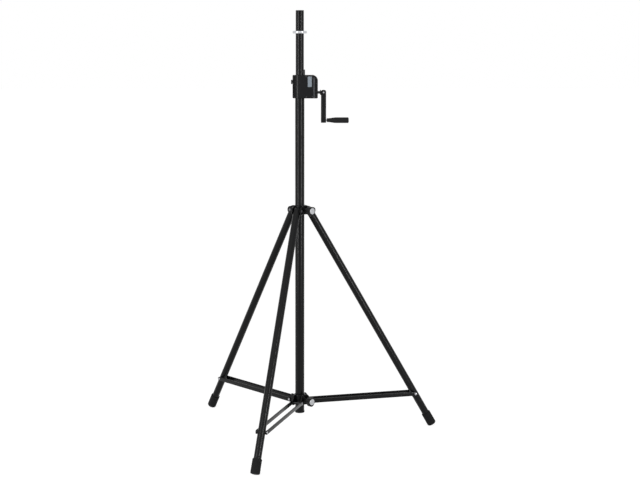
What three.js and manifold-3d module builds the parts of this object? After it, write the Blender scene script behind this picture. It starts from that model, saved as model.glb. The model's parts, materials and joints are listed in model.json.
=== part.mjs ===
// Crank lighting stand. Millimetres, +Z up. Everything is built about the mast axis and moved once,
// at the end, so that the origin is the middle of the bounding box at floor level.
import * as THREE from 'three';
import { mergeVertices } from 'three/addons/utils/BufferGeometryUtils.js';
import Module from 'manifold-3d';

const wasm = await Module();
wasm.setup();
const { Manifold, Mesh } = wasm;

// ---------------------------------------------------------------- driving dimensions

const CLEAR = 0.3; // running clearance between pieces that slide or turn
const SEAT = 0.25; // gap between pieces that are screwed or pressed together
const FINE = 24; // sides of the large round pieces
const ROUND = 20; // sides of the medium ones
const SMALL = 12; // sides of pins and holes

const POLE = { radius: 17.5, wall: 2, bottom: 150, top: 1855.5 };
const TUBE = { radius: 20, wall: 1.5, bottom: 108, top: 1575 };
const END_CAP = { flange: 1.1, height: 8, plug: 18 };
const RAISE = 1090; // travel of the pole

const MODULE = 2.5; // gear module of the rack, the pinion, the worm and the wheel
const BACKLASH = 1.3; // at the pitch line, for both gear pairs
const RACK = { spare: 27.5, depth: 7.5, halfWidth: 4, recess: 0.5 };
const PINION = { teeth: 15, inset: 0.4, shaftRadius: 5 }; // its face is narrower than the rack
const WHEEL = { teeth: 12, face: 10, gap: 5.9 };
const WORM = { pitchRadius: 8, length: 21, turns: 2.4 };

const HOUSING = {
  bottom: 1484, top: 1583, left: -31, split: 60, right: 77, front: -28, back: 20,
  wall: 4, sleeve: 27, ribHalf: 15, corner: 5, bigCorner: 20,
};
const COVER = { thickness: 3.2, left: -3, margin: 3, corner: 4 };
const SCREW = { radius: 2.6, inset: 6, head: 1.4 };

const CRANK = {
  shaft: 5.75, height: 1509.5, collarFrom: 86, collarRadius: 11.2,
  armFrom: 90.5, armWidth: 22, armDepth: 16, armAbove: 10.5, armBelow: 11, throw: 118.5,
  gripGap: 2.5, gripLength: 94.5, neck: 8.75, grip: 12.25, neckLength: 35, spindle: 4,
};
const LOCK = { radius: 9.5, thickness: 6, height: 1553.5, stud: 3 };

const RING = { from: 1757.5, to: 1769, radius: 31, edge: 3 };
const STOP = { height: 22.5, reach: 2.55, halfWidth: 6 }; // it reaches past the tube, over the housing's top
const POLE_HOLES = [[1842, 3.5], [1793, 2.2], [1779.5, 2.2]]; // height, radius

const LEG = { azimuth: 13, radius: 16, wall: 1.5, spread: 30.03, pivotRadius: 41.5, pivotHeight: 1001 };
const FOOT = { radius: 20, length: 62, edge: 6, floor: 9 };
const UPPER = { bottom: 984, top: 1023, ring: 25, lug: 16, bolt: 4, head: 6.5 };
const LOWER = { bottom: 138, top: 183, ring: 25, lug: 11, pivotRadius: 45, pivotHeight: 153 };
const STRUT = { width: 18, thickness: 3, offset: 22.2, pin: 3, head: 5.5, headLength: 2.5, onLeg: 975 };
const CHEEK = 4.4; // thickness of each lug cheek
const KNOB = { azimuth: -60, screw: 4, boss: 9, bossTo: 36, hubFrom: 45, from: 58, to: 79, radius: 19.5 };
const DISC = { radius: 13.5, thickness: 2 };

// ---------------------------------------------------------------- sizes that follow

const rad = THREE.MathUtils.degToRad;
const tubeInner = TUBE.radius - TUBE.wall;
const bore = TUBE.radius + CLEAR;
const polePlug = POLE.radius - POLE.wall - SEAT;
const pitch = Math.PI * MODULE;
const rackTip = POLE.radius - RACK.recess;
const rackPitchX = rackTip - 0.7 * MODULE;
const pinionPitch = (MODULE * PINION.teeth) / 2;
const wheelPitch = (MODULE * WHEEL.teeth) / 2;
const gearX = rackPitchX + pinionPitch;
const gearZ = CRANK.height + WORM.pitchRadius + wheelPitch;
const teethFrom = gearZ - RAISE - RACK.spare; // the rack starts a little below the pinion when raised
const pinionHalf = RACK.halfWidth - PINION.inset;
const wormY = -(pinionHalf + WHEEL.gap + WHEEL.face / 2);
const toothWidth = (pitch - BACKLASH) / 2;
const throatX = gearX - WORM.length / 2;
const stopTop = HOUSING.top + CLEAR + STOP.height;
const armX = CRANK.armFrom + CRANK.armWidth / 2;
const gripFrom = CRANK.armFrom + CRANK.armWidth + CRANK.gripGap;
const slotHalf = LEG.radius + CLEAR;
const spread = rad(LEG.spread);
const footDrop = FOOT.edge + (FOOT.radius - FOOT.edge) * Math.sin(spread) - FOOT.edge * Math.cos(spread);
const legReach = (LEG.pivotHeight - footDrop) / Math.cos(spread); // hinge to the end of the foot
const barInner = STRUT.offset - STRUT.thickness / 2;
const barOuter = STRUT.offset + STRUT.thickness / 2;
const strutEnd = [
  LEG.pivotRadius + STRUT.onLeg * Math.sin(spread),
  LEG.pivotHeight - STRUT.onLeg * Math.cos(spread),
];
const strutLength = Math.hypot(strutEnd[0] - LOWER.pivotRadius, strutEnd[1] - LOWER.pivotHeight);
const strutTilt = Math.atan2(strutEnd[1] - LOWER.pivotHeight, strutEnd[0] - LOWER.pivotRadius);

// ---------------------------------------------------------------- solids

function solid(geometry) {
  const bare = new THREE.BufferGeometry();
  bare.setAttribute('position', geometry.getAttribute('position'));
  if (geometry.index) bare.setIndex(geometry.index);
  const welded = mergeVertices(bare, 1e-4);
  const at = welded.getAttribute('position');
  const corners = Array.from(welded.index.array);
  const triangles = [];
  for (let i = 0; i < corners.length; i += 3) {
    const [a, b, c] = corners.slice(i, i + 3);
    if (a !== b && b !== c && a !== c) triangles.push(a, b, c);
  }
  const p = [0, 1, 2].map(() => new THREE.Vector3());
  let volume = 0;
  for (let i = 0; i < triangles.length; i += 3) {
    p.forEach((v, k) => v.fromBufferAttribute(at, triangles[i + k]));
    volume += p[0].dot(p[1].clone().cross(p[2]));
  }
  if (volume < 0) triangles.reverse();
  return new Manifold(new Mesh({
    numProp: 3,
    vertProperties: Float32Array.from(at.array),
    triVerts: Uint32Array.from(triangles),
  }));
}

function geometryOf(body) {
  const mesh = body.getMesh();
  const geometry = new THREE.BufferGeometry();
  geometry.setAttribute('position', new THREE.BufferAttribute(Float32Array.from(mesh.vertProperties), 3));
  geometry.setIndex(Array.from(mesh.triVerts));
  return geometry;
}

const union = (...bodies) => Manifold.union(bodies);

// A ring or turned piece about Z. profile: [radius, height] pairs.
function turned(profile, segments = FINE) {
  const closed = profile[0][0] > 1e-9;
  const points = closed ? [...profile, profile[0]] : profile;
  const lathe = new THREE.LatheGeometry(points.map(([r, z]) => new THREE.Vector2(r, z)), segments);
  return solid(lathe.rotateX(Math.PI / 2));
}

const rod = (radius, from, to, segments = ROUND) =>
  turned([[0, from], [radius, from], [radius, to], [0, to]], segments);

const ring = (inner, outer, from, to, segments = FINE) =>
  turned([[inner, from], [outer, from], [outer, to], [inner, to]], segments);

function block(x0, x1, y0, y1, z0, z1) {
  const box = new THREE.BoxGeometry(x1 - x0, y1 - y0, z1 - z0);
  return solid(box.translate((x0 + x1) / 2, (y0 + y1) / 2, (z0 + z1) / 2));
}

// A flat outline [u, v] made thick from 0 to `depth`, along +Z.
function prism(outline, depth) {
  const shape = new THREE.Shape(outline.map(([u, v]) => new THREE.Vector2(u, v)));
  return solid(new THREE.ExtrudeGeometry(shape, { depth, bevelEnabled: false }));
}

// A rectangle with its own radius at each corner: bottom left, bottom right, top right, top left.
function roundedOutline(u0, u1, v0, v1, radii, steps = 3) {
  const centres = [[u0, v0, 1, 1, 180], [u1, v0, -1, 1, 270], [u1, v1, -1, -1, 0], [u0, v1, 1, -1, 90]];
  return centres.flatMap(([u, v, su, sv, start], corner) => {
    const r = radii[corner];
    return Array.from({ length: steps + 1 }, (_, k) => {
      const a = rad(start + (90 * k) / steps);
      return [u + su * r + r * Math.cos(a), v + sv * r + r * Math.sin(a)];
    });
  });
}

function move(body, matrix) {
  return body.transform(matrix.elements);
}

// Turns a piece made about Z so that it lies along the given direction, from the given point.
function along(body, direction, origin) {
  const turn = new THREE.Quaternion().setFromUnitVectors(
    new THREE.Vector3(0, 0, 1), new THREE.Vector3(...direction).normalize());
  return move(body, new THREE.Matrix4().compose(new THREE.Vector3(...origin), turn, new THREE.Vector3(1, 1, 1)));
}

const aroundZ = (body, degrees) => move(body, new THREE.Matrix4().makeRotationZ(rad(degrees)));

// An X-Z outline made thick along Y, from y0 to y1.
function plateXZ(outline, y0, y1) {
  const flip = new THREE.Matrix4().makeBasis(
    new THREE.Vector3(1, 0, 0), new THREE.Vector3(0, 0, 1), new THREE.Vector3(0, -1, 0));
  return move(prism(outline, y1 - y0), flip).translate([0, y1, 0]);
}

// ---------------------------------------------------------------- materials and nodes

const FINISH = {
  powder: [0x17181a, 0.35, 0.1], plastic: [0x1c1d1f, 0.6, 0], rubber: [0x121213, 0.9, 0],
  steel: [0xb9bcc0, 0.3, 1], chrome: [0xd9dcdf, 0.12, 1], brass: [0xb08d4a, 0.4, 1], disc: [0xdfe2e6, 0.35, 0.2],
};

const part = new THREE.Group();
part.name = 'crank_lighting_stand';

function node(name, body, finish) {
  const [color, roughness, metalness] = FINISH[finish];
  const mesh = new THREE.Mesh(geometryOf(body), new THREE.MeshStandardMaterial({ color, roughness, metalness }));
  mesh.name = name;
  part.add(mesh);
}

// ---------------------------------------------------------------- mast

function mainTube() {
  const wheelTip = wheelPitch + 0.9 * MODULE;
  const reach = Math.max(pinionPitch, wheelTip) + MODULE + 1;
  const opening = block(
    gearX - reach, TUBE.radius + 5, wormY - WHEEL.face / 2 - 1.2, pinionHalf + 1.2, gearZ - reach, gearZ + reach);
  const lockHole = along(rod(LOCK.stud + 0.6, 0, TUBE.radius + 5, SMALL), [-1, 0, 0], [0, 0, LOCK.height]);
  return ring(tubeInner, TUBE.radius, TUBE.bottom, TUBE.top).subtract(opening).subtract(lockHole);
}

function endCap() {
  const edge = TUBE.radius + END_CAP.flange;
  const base = TUBE.bottom - END_CAP.height;
  const plug = tubeInner - SEAT;
  return turned([
    [0, base], [edge - 4, base], [edge - 1.2, base + 1.2], [edge, base + 4], [edge, TUBE.bottom - SEAT],
    [plug, TUBE.bottom - SEAT], [plug, TUBE.bottom + END_CAP.plug], [0, TUBE.bottom + END_CAP.plug],
  ]);
}

function pole() {
  let body = ring(POLE.radius - POLE.wall, POLE.radius, POLE.bottom, POLE.top);
  const half = RACK.halfWidth + SEAT;
  body = body.subtract(block(0, POLE.radius + 2, -half, half, teethFrom - SEAT, HOUSING.top));
  for (const [height, radius] of POLE_HOLES) {
    body = body.subtract(along(rod(radius, 0, POLE.radius + 5, SMALL), [0, -1, 0], [0, 0, height]));
  }
  return body;
}

function poleTopPlug() {
  return turned([[0, POLE.top - 5], [polePlug, POLE.top - 5], [polePlug, POLE.top - 0.8], [polePlug - 0.8, POLE.top],
    [0, POLE.top]]);
}

function lowerGlide() {
  const rim = tubeInner - CLEAR;
  const seat = POLE.bottom - SEAT;
  return turned([[0, seat - 8], [rim - 1, seat - 8], [rim, seat - 7], [rim, seat], [polePlug, seat],
    [polePlug, POLE.bottom + 16], [0, POLE.bottom + 16]]);
}

// Teeth face +X. A gap between teeth is level with the gear axis, where the pinion has a tooth.
function rack() {
  const from = teethFrom;
  const to = HOUSING.top - SEAT;
  const root = rackPitchX - 1.05 * MODULE;
  const lean = Math.tan(rad(20));
  const tipHalf = toothWidth / 2 - (rackTip - rackPitchX) * lean;
  const rootHalf = toothWidth / 2 + (rackPitchX - root) * lean;
  const outline = [[rackTip - RACK.depth, from], [root, from]];
  const first = Math.ceil((from + rootHalf - gearZ) / pitch - 0.5);
  for (let i = first; ; i += 1) {
    const z = gearZ + (i + 0.5) * pitch;
    if (z + rootHalf > to) break;
    outline.push([root, z - rootHalf], [rackTip, z - tipHalf], [rackTip, z + tipHalf], [root, z + rootHalf]);
  }
  outline.push([root, to], [rackTip - RACK.depth, to]);
  return plateXZ(outline, -RACK.halfWidth, RACK.halfWidth);
}

function stopBlock() {
  const inner = POLE.radius + SEAT;
  const outer = TUBE.radius + STOP.reach;
  const outline = roundedOutline(inner, outer, HOUSING.top + CLEAR, stopTop, [0.8, 0.8, 2.5, 0.8], 2);
  return plateXZ(outline, -STOP.halfWidth, STOP.halfWidth);
}

function stopRing() {
  const inner = POLE.radius + CLEAR;
  const { from, to, radius, edge } = RING;
  return turned([
    [inner, from], [radius - edge, from], [radius, from + edge], [radius, to - edge], [radius - edge, to], [inner, to],
  ], 32);
}

// ---------------------------------------------------------------- winch

// A spur gear about Z, from z0 to z1, with a tooth at angle `phase`; `twist` turns its far end.
function gear(teeth, tip, root, pitchRadius, z0, z1, phase, twist = 0) {
  const half = toothWidth / 2;
  const lean = Math.tan(rad(20));
  const rootHalf = half + (pitchRadius - root) * lean * 0.6;
  const tipHalf = half - (tip - pitchRadius) * lean * 1.5;
  const outline = [];
  for (let i = 0; i < teeth; i += 1) {
    const middle = phase + (2 * Math.PI * i) / teeth;
    const flank = [[root, -rootHalf], [pitchRadius, -half], [tip, -tipHalf], [tip, tipHalf],
      [pitchRadius, half], [root, rootHalf]];
    for (const [r, t] of flank) {
      const a = middle + Math.asin(t / r);
      outline.push([r * Math.cos(a), r * Math.sin(a)]);
    }
  }
  const body = prism(outline, z1 - z0).translate([0, 0, z0]);
  if (!twist) return body;
  return body.warp((v) => {
    const a = twist * ((v[2] - z0) / (z1 - z0) - 0.5);
    const [x, y] = v;
    v[0] = x * Math.cos(a) - y * Math.sin(a);
    v[1] = x * Math.sin(a) + y * Math.cos(a);
  });
}

// Puts a piece made about Z on the cross shaft: its Z lies along -Y and its X stays along X.
const onCrossShaft = (body) => move(body, new THREE.Matrix4().makeBasis(
  new THREE.Vector3(1, 0, 0), new THREE.Vector3(0, 0, 1), new THREE.Vector3(0, -1, 0),
).setPosition(gearX, 0, gearZ));

function pinionShaft() {
  const gearBody = gear(PINION.teeth, pinionPitch + 0.7 * MODULE, pinionPitch - 1.05 * MODULE, pinionPitch,
    -pinionHalf, pinionHalf, Math.PI);
  const shaft = rod(PINION.shaftRadius, -(HOUSING.back - 0.8), -HOUSING.front + COVER.thickness - 1.8);
  return onCrossShaft(union(gearBody, shaft));
}

function wormWheel() {
  const lead = Math.atan(MODULE / (2 * WORM.pitchRadius));
  const twist = (WHEEL.face * Math.tan(lead)) / wheelPitch;
  const from = -wormY - WHEEL.face / 2;
  const body = gear(WHEEL.teeth, wheelPitch + 0.85 * MODULE, wheelPitch - 1.1 * MODULE, wheelPitch,
    from, from + WHEEL.face, -Math.PI / 2, twist);
  const hub = rod(PINION.shaftRadius + 3, from - WHEEL.gap + CLEAR, from + WHEEL.face);
  return onCrossShaft(union(body, hub).subtract(rod(PINION.shaftRadius + SEAT, -50, 50)));
}

// The worm's thread: one start, made as a closed ribbon round the core.
function wormThread(core, tip) {
  const steps = 12;
  const count = Math.round(WORM.turns * steps);
  const lean = Math.tan(rad(20));
  const inside = core - 0.6;
  const tipHalf = toothWidth / 2 - (tip - WORM.pitchRadius) * lean;
  const rootHalf = toothWidth / 2 + (WORM.pitchRadius - inside) * lean;
  const points = [];
  for (let i = 0; i <= count; i += 1) {
    const turn = (i - count / 2) / steps;
    const a = -2 * Math.PI * turn;
    for (const [r, dx] of [[inside, -rootHalf], [tip, -tipHalf], [tip, tipHalf], [inside, rootHalf]]) {
      points.push([(turn + 0.5) * pitch + dx, r * Math.sin(a), r * Math.cos(a)]);
    }
  }
  const index = [0, 1, 2, 0, 2, 3];
  for (let i = 0; i < count; i += 1) {
    for (let k = 0; k < 4; k += 1) {
      const a = 4 * i + k;
      const b = 4 * i + ((k + 1) % 4);
      index.push(a, a + 4, b, b, a + 4, b + 4);
    }
  }
  const end = 4 * count;
  index.push(end, end + 2, end + 1, end, end + 3, end + 2);
  const geometry = new THREE.BufferGeometry();
  geometry.setAttribute('position', new THREE.BufferAttribute(Float32Array.from(points.flat()), 3));
  geometry.setIndex(index);
  return solid(geometry).translate([gearX, 0, 0]);
}

const onCrankAxis = (body) => body.translate([0, wormY, CRANK.height]);

function crankShaft() {
  const core = WORM.pitchRadius - 1.25 * MODULE;
  const journal = journalEnd();
  const profile = [[0, journal], [core, journal], [core, throatX + WORM.length], [CRANK.shaft, throatX + WORM.length],
    [CRANK.shaft, armX + 5], [CRANK.shaft - 1, armX + 6], [0, armX + 6]];
  const shaft = along(turned(profile, ROUND), [1, 0, 0], [0, 0, 0]);
  const body = union(shaft, wormThread(core, WORM.pitchRadius + 0.85 * MODULE));
  const cross = along(rod(CRANK.spindle - 1 + CLEAR, -20, 20, SMALL), [0, 1, 0], [armX, 0, 0]);
  return onCrankAxis(body.subtract(cross));
}

// The worm's inner end stops clear of the tube's bore.
function journalEnd() {
  const core = WORM.pitchRadius - 1.25 * MODULE;
  const near = Math.abs(wormY) - core - CLEAR;
  return Math.sqrt(Math.max((bore + 1) ** 2 - near ** 2, 1));
}

function housingBody() {
  const h = HOUSING;
  const outline = roundedOutline(h.left, h.split, h.bottom, h.top, [h.corner, 0.5, 0.5, h.corner]);
  const ribs = plateXZ(outline, -h.ribHalf, h.ribHalf);
  const box = block(0, h.split, h.front, h.back, h.bottom, h.top);
  const sleeve = rod(h.sleeve, h.bottom, h.top, 32);
  let body = union(ribs, box, sleeve).subtract(rod(bore, h.bottom - 5, h.top + 5, FINE));
  for (const side of [-1, 1]) {
    for (const k of [0, 1, 2]) {
      const z = h.bottom + 9 + k * 29;
      const y0 = side > 0 ? h.ribHalf - 5 : -h.ribHalf - 5;
      body = body.subtract(block(h.left + 3, h.left + 12, y0, y0 + 10, z, z + 23));
    }
  }
  const reach = pinionPitch + MODULE + 1;
  const inside = h.split - h.wall;
  body = body.subtract(block(
    gearX - reach, inside, h.front - 5, h.back - h.wall - 1, CRANK.height + 4, Math.min(gearZ + reach, h.top - h.wall)));
  body = body.subtract(block(
    throatX - 2, inside, h.front - 5, h.back - h.wall - 1, h.bottom + h.wall + 3, CRANK.height + 8));
  const journal = onCrankAxis(along(rod(WORM.pitchRadius - 1.25 * MODULE + CLEAR, journalEnd() - CLEAR, 40, ROUND),
    [1, 0, 0], [0, 0, 0]));
  const outlet = onCrankAxis(along(rod(CRANK.shaft + 3, 50, 90, ROUND), [1, 0, 0], [0, 0, 0]));
  const rear = onCrossShaft(rod(PINION.shaftRadius + 3, -h.back - 5, 0, ROUND));
  const lock = along(rod(LOCK.stud + CLEAR, 0, 60, SMALL), [-1, 0, 0], [0, 0, LOCK.height]);
  return body.subtract(journal).subtract(outlet).subtract(rear).subtract(lock);
}

function coverScrewPlaces() {
  const { left, margin } = COVER;
  const xs = [left + margin + SCREW.inset + 22, HOUSING.split - margin - SCREW.inset + 2];
  const zs = [HOUSING.bottom + margin + SCREW.inset - 2, HOUSING.top - margin - SCREW.inset + 2];
  return xs.flatMap((x) => zs.map((z) => [x, z]));
}

function housingCover() {
  const h = HOUSING;
  const m = COVER.margin;
  const outline = roundedOutline(COVER.left, h.split - m, h.bottom + m, h.top - m, Array(4).fill(COVER.corner));
  const face = h.front - SEAT;
  let body = plateXZ(outline, face - COVER.thickness, face);
  body = body.subtract(onCrossShaft(rod(PINION.shaftRadius + 3, 0, -face + 2, ROUND)));
  for (const [x, z] of coverScrewPlaces()) {
    body = body.subtract(along(rod(SCREW.radius + SEAT, 0, 1.8, SMALL), [0, 1, 0], [x, face - COVER.thickness - 0.1, z]));
  }
  return body;
}

function coverScrew([x, z]) {
  const seat = HOUSING.front - SEAT - COVER.thickness + 1.7 - SEAT;
  const head = turned([[0, 0], [SCREW.radius, 0], [SCREW.radius, SCREW.head], [SCREW.radius - 0.6, SCREW.head + 0.6],
    [0, SCREW.head + 0.6]], SMALL);
  return along(head, [0, -1, 0], [x, seat, z]);
}

function housingEnd() {
  const h = HOUSING;
  const from = h.split + SEAT;
  const outline = roundedOutline(from, h.right, h.bottom, h.top, [0.5, 6, h.bigCorner - 4, 0.5]);
  const skin = 3.5;
  let body = plateXZ(outline, h.front - 1.5, h.back + 1.5);
  const pocket = roundedOutline(from - 5, h.right - skin, h.bottom + skin, h.top - skin, [0.5, 4, h.bigCorner - 6, 0.5]);
  body = body.subtract(plateXZ(pocket, h.front + skin, h.back - skin));
  body = body.add(onCrankAxis(along(rod(CRANK.shaft + 5, from, h.right - 1, ROUND), [1, 0, 0], [0, 0, 0])));
  return body.subtract(onCrankAxis(along(rod(CRANK.shaft + CLEAR, 40, 90, ROUND), [1, 0, 0], [0, 0, 0])));
}

const shaftBush = (from, to) => onCrossShaft(
  ring(PINION.shaftRadius + CLEAR, PINION.shaftRadius + 3 - SEAT, from, to, ROUND));

const crankBush = () => onCrankAxis(along(
  ring(CRANK.shaft + CLEAR, CRANK.shaft + 3 - SEAT, HOUSING.split - HOUSING.wall, HOUSING.split, ROUND), [1, 0, 0], [0, 0, 0]));

const guideBush = () => ring(POLE.radius + CLEAR, bore - SEAT, TUBE.top + SEAT, HOUSING.top);

function lockKnob() {
  const seat = -HOUSING.left + CLEAR;
  const lobes = 8;
  const outline = Array.from({ length: lobes * 4 }, (_, i) => {
    const a = (2 * Math.PI * i) / (lobes * 4);
    const r = LOCK.radius - (i % 4 === 2 ? 1.3 : 0);
    return [r * Math.cos(a), r * Math.sin(a)];
  });
  const knob = prism(outline, LOCK.thickness).translate([0, 0, seat]);
  const stud = rod(LOCK.stud, POLE.radius + CLEAR, seat + 1, SMALL);
  return along(union(knob, stud), [-1, 0, 0], [0, 0, LOCK.height]);
}

// ---------------------------------------------------------------- crank

function crankCollar() {
  const c = CRANK;
  const to = c.armFrom - SEAT;
  return onCrankAxis(along(turned([
    [c.shaft + SEAT, c.collarFrom], [c.collarRadius - 1, c.collarFrom], [c.collarRadius, c.collarFrom + 1],
    [c.collarRadius, to - 0.6], [c.collarRadius - 0.6, to], [c.shaft + SEAT, to],
  ], ROUND), [1, 0, 0], [0, 0, 0]));
}

function crankArm() {
  const c = CRANK;
  const top = c.armAbove;
  const bottom = -c.throw - c.armBelow;
  const outline = roundedOutline(c.armFrom, c.armFrom + c.armWidth, bottom, top, [3, 3, 9, 9]);
  let body = plateXZ(outline, -c.armDepth / 2, c.armDepth / 2);
  const groove = roundedOutline(c.armFrom + 4, c.armFrom + c.armWidth - 4, bottom + 24, top - 22, Array(4).fill(3), 2);
  body = body.subtract(plateXZ(groove, -c.armDepth / 2 - 5, -c.armDepth / 2 + 1));
  body = body.subtract(plateXZ(groove, c.armDepth / 2 - 1, c.armDepth / 2 + 5));
  body = body.subtract(along(rod(c.shaft + SEAT, c.armFrom - 5, armX + 7), [1, 0, 0], [0, 0, 0]));
  body = body.subtract(along(rod(c.spindle - 1 + CLEAR, -20, 20, SMALL), [0, 1, 0], [armX, 0, 0]));
  body = body.subtract(along(rod(c.spindle + SEAT, c.armFrom + 4, 200), [1, 0, 0], [0, 0, -c.throw]));
  return onCrankAxis(body);
}

function crankBolt() {
  const shank = CRANK.spindle - 1;
  const face = CRANK.armDepth / 2 + SEAT;
  const body = turned([[0, -face - 2.5], [4.5, -face - 2.5], [4.5, -face], [shank, -face], [shank, face],
    [5, face], [5, face + 1.6], [3.6, face + 2.8], [0, face + 2.8]], SMALL);
  return onCrankAxis(along(body, [0, -1, 0], [armX, 0, 0]));
}

function gripSpindle() {
  const c = CRANK;
  const body = turned([[0, c.armFrom + 4 + SEAT], [c.spindle, c.armFrom + 4 + SEAT],
    [c.spindle, gripFrom + c.gripLength - 8], [0, gripFrom + c.gripLength - 8]], SMALL);
  return onCrankAxis(along(body, [1, 0, 0], [0, 0, -c.throw]));
}

function crankGrip() {
  const c = CRANK;
  const end = gripFrom + c.gripLength;
  const inner = c.spindle + CLEAR;
  const profile = [
    [inner, gripFrom], [c.neck, gripFrom], [c.neck + 0.6, gripFrom + c.neckLength * 0.4],
    [c.grip, gripFrom + c.neckLength], [c.grip, end - 4], [c.grip - 3, end], [0, end], [0, end - 7], [inner, end - 7],
  ];
  const lathe = new THREE.LatheGeometry([...profile, profile[0]].map(([r, z]) => new THREE.Vector2(r, z)), ROUND);
  return onCrankAxis(along(solid(lathe.rotateX(Math.PI / 2)), [1, 0, 0], [0, 0, -c.throw]));
}

// ---------------------------------------------------------------- tripod, in a leg's own frame (X outwards)

// Two cheeks with a round outer end; the space between them takes the leg.
function lugs(pivotRadius, pivotHeight, reach, bottom, top, outer) {
  const inner = TUBE.radius - 7;
  const arc = Array.from({ length: 6 }, (_, k) => {
    const a = rad(-90 + (180 * k) / 5);
    return [pivotRadius + reach * Math.cos(a), pivotHeight + reach * Math.sin(a)];
  });
  const outline = [[inner, bottom], [pivotRadius - reach, bottom], ...arc, [pivotRadius - reach, top], [inner, top]];
  return [[-outer, -slotHalf], [slotHalf, outer]].map(([y0, y1]) => plateXZ(outline, y0, y1));
}

function collar(spec, pivotRadius, pivotHeight, cheekOuter, pinRadius) {
  const middle = (spec.bottom + spec.top) / 2;
  let body = rod(spec.ring, spec.bottom, spec.top, FINE);
  const lugPair = lugs(pivotRadius, pivotHeight, spec.lug, spec.bottom, spec.top, cheekOuter);
  for (const turn of [0, 120, 240]) {
    for (const cheek of lugPair) body = body.add(aroundZ(cheek, turn));
  }
  const boss = along(rod(KNOB.boss, TUBE.radius, KNOB.bossTo), [1, 0, 0], [0, 0, middle]);
  body = body.add(aroundZ(boss, KNOB.azimuth));
  body = body.subtract(rod(bore, spec.bottom - 5, spec.top + 5, FINE));
  for (const turn of [0, 120, 240]) {
    const hole = along(rod(pinRadius + CLEAR, -40, 40, SMALL), [0, 1, 0], [pivotRadius, 0, pivotHeight]);
    body = body.subtract(aroundZ(hole, turn));
  }
  const tap = along(rod(KNOB.screw + CLEAR, 0, 60, SMALL), [1, 0, 0], [0, 0, middle]);
  return body.subtract(aroundZ(tap, KNOB.azimuth));
}

function clampPieces(spec, name) {
  const middle = (spec.bottom + spec.top) / 2;
  const set = (body) => aroundZ(along(body, [1, 0, 0], [0, 0, middle]), LEG.azimuth + KNOB.azimuth);
  const screw = rod(KNOB.screw, bore - SEAT + 0.2, KNOB.from + 8, SMALL);
  const lobes = 3;
  const count = 24;
  const outline = Array.from({ length: count }, (_, i) => {
    const a = (2 * Math.PI * i) / count;
    const r = KNOB.radius - 2.6 * (0.5 - 0.5 * Math.cos(lobes * a));
    return [r * Math.cos(a), r * Math.sin(a)];
  });
  const head = prism(outline, KNOB.to - KNOB.from).translate([0, 0, KNOB.from]);
  const hub = turned([[0, KNOB.hubFrom], [10, KNOB.hubFrom], [12.5, KNOB.from + 1], [0, KNOB.from + 1]], ROUND);
  const knob = union(head, hub).subtract(rod(KNOB.screw + SEAT, KNOB.hubFrom - 5, KNOB.from + 9, SMALL))
    .subtract(rod(DISC.radius + SEAT, KNOB.to - 1, KNOB.to + 5, 32));
  const seat = KNOB.to - 1 + SEAT;
  const disc = turned([[0, seat], [DISC.radius, seat], [DISC.radius, seat + DISC.thickness],
    [DISC.radius - 0.8, seat + DISC.thickness + 0.5], [0, seat + DISC.thickness + 0.5]]);
  node(`${name}_clamp_screw`, set(screw), 'steel');
  node(`${name}_clamp_knob`, set(knob), 'plastic');
  node(`${name}_knob_disc`, set(disc), 'disc');
}

// Puts a piece made about Z, with its start at 0, on the leg's line below its hinge.
const onLeg = (body) => along(body, [Math.sin(spread), 0, -Math.cos(spread)], [LEG.pivotRadius, 0, LEG.pivotHeight]);

function leg() {
  const { radius, wall } = LEG;
  const end = legReach - FOOT.floor - SEAT;
  const solidTo = radius + 4;
  const dome = [0, 30, 60, 90].map((a) => [radius * Math.sin(rad(a)), -radius * Math.cos(rad(a))]);
  let body = turned([...dome, [radius, end], [radius - wall, end], [radius - wall, solidTo], [0, solidTo]], ROUND);
  body = body.subtract(along(rod(UPPER.bolt + CLEAR, -40, 40, SMALL), [0, 1, 0], [0, 0, 0]));
  for (const side of [-1, 1]) {
    const boss = rod(8, radius - 3, barInner - CLEAR, SMALL);
    body = body.add(along(boss, [0, side, 0], [0, 0, STRUT.onLeg]));
  }
  return onLeg(body);
}

function foot() {
  const { radius, length, edge, floor } = FOOT;
  const top = legReach - length;
  const inner = LEG.radius + SEAT;
  const round = [0, 30, 60, 90].map((a) => [
    radius - edge + edge * Math.cos(rad(a)), legReach - edge + edge * Math.sin(rad(a))]);
  return onLeg(turned([[inner, top], [radius - 1.5, top], [radius, top + 2], ...round, [0, legReach],
    [0, legReach - floor], [inner, legReach - floor], [inner, top]], ROUND));
}

// A cross bolt with a head at each end, along the leg frame's Y.
function crossBolt(shank, headRadius, seat, headLength, radius, height) {
  const top = seat + headLength;
  return along(turned([
    [0, -top], [headRadius, -top], [headRadius, -seat], [shank, -seat],
    [shank, seat], [headRadius, seat], [headRadius, top], [0, top],
  ], SMALL), [0, 1, 0], [radius, 0, height]);
}

// Puts a piece drawn with the strut's length along X on the strut's own line.
function onStrut(body) {
  return move(body, new THREE.Matrix4().makeRotationY(-strutTilt)
    .setPosition(LOWER.pivotRadius, 0, LOWER.pivotHeight));
}

function strutBar(side) {
  const half = STRUT.width / 2;
  const round = (centre, start) => Array.from({ length: 6 }, (_, k) => {
    const a = rad(start + (180 * k) / 5);
    return [centre + half * Math.cos(a), half * Math.sin(a)];
  });
  const outline = [...round(strutLength, -90), ...round(0, 90)];
  let bar = plateXZ(outline, -STRUT.thickness / 2, STRUT.thickness / 2).translate([0, side * STRUT.offset, 0]);
  for (const x of [0, strutLength]) {
    bar = bar.subtract(along(rod(STRUT.pin + CLEAR, -40, 40, SMALL), [0, 1, 0], [x, 0, 0]));
  }
  return onStrut(bar);
}

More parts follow.
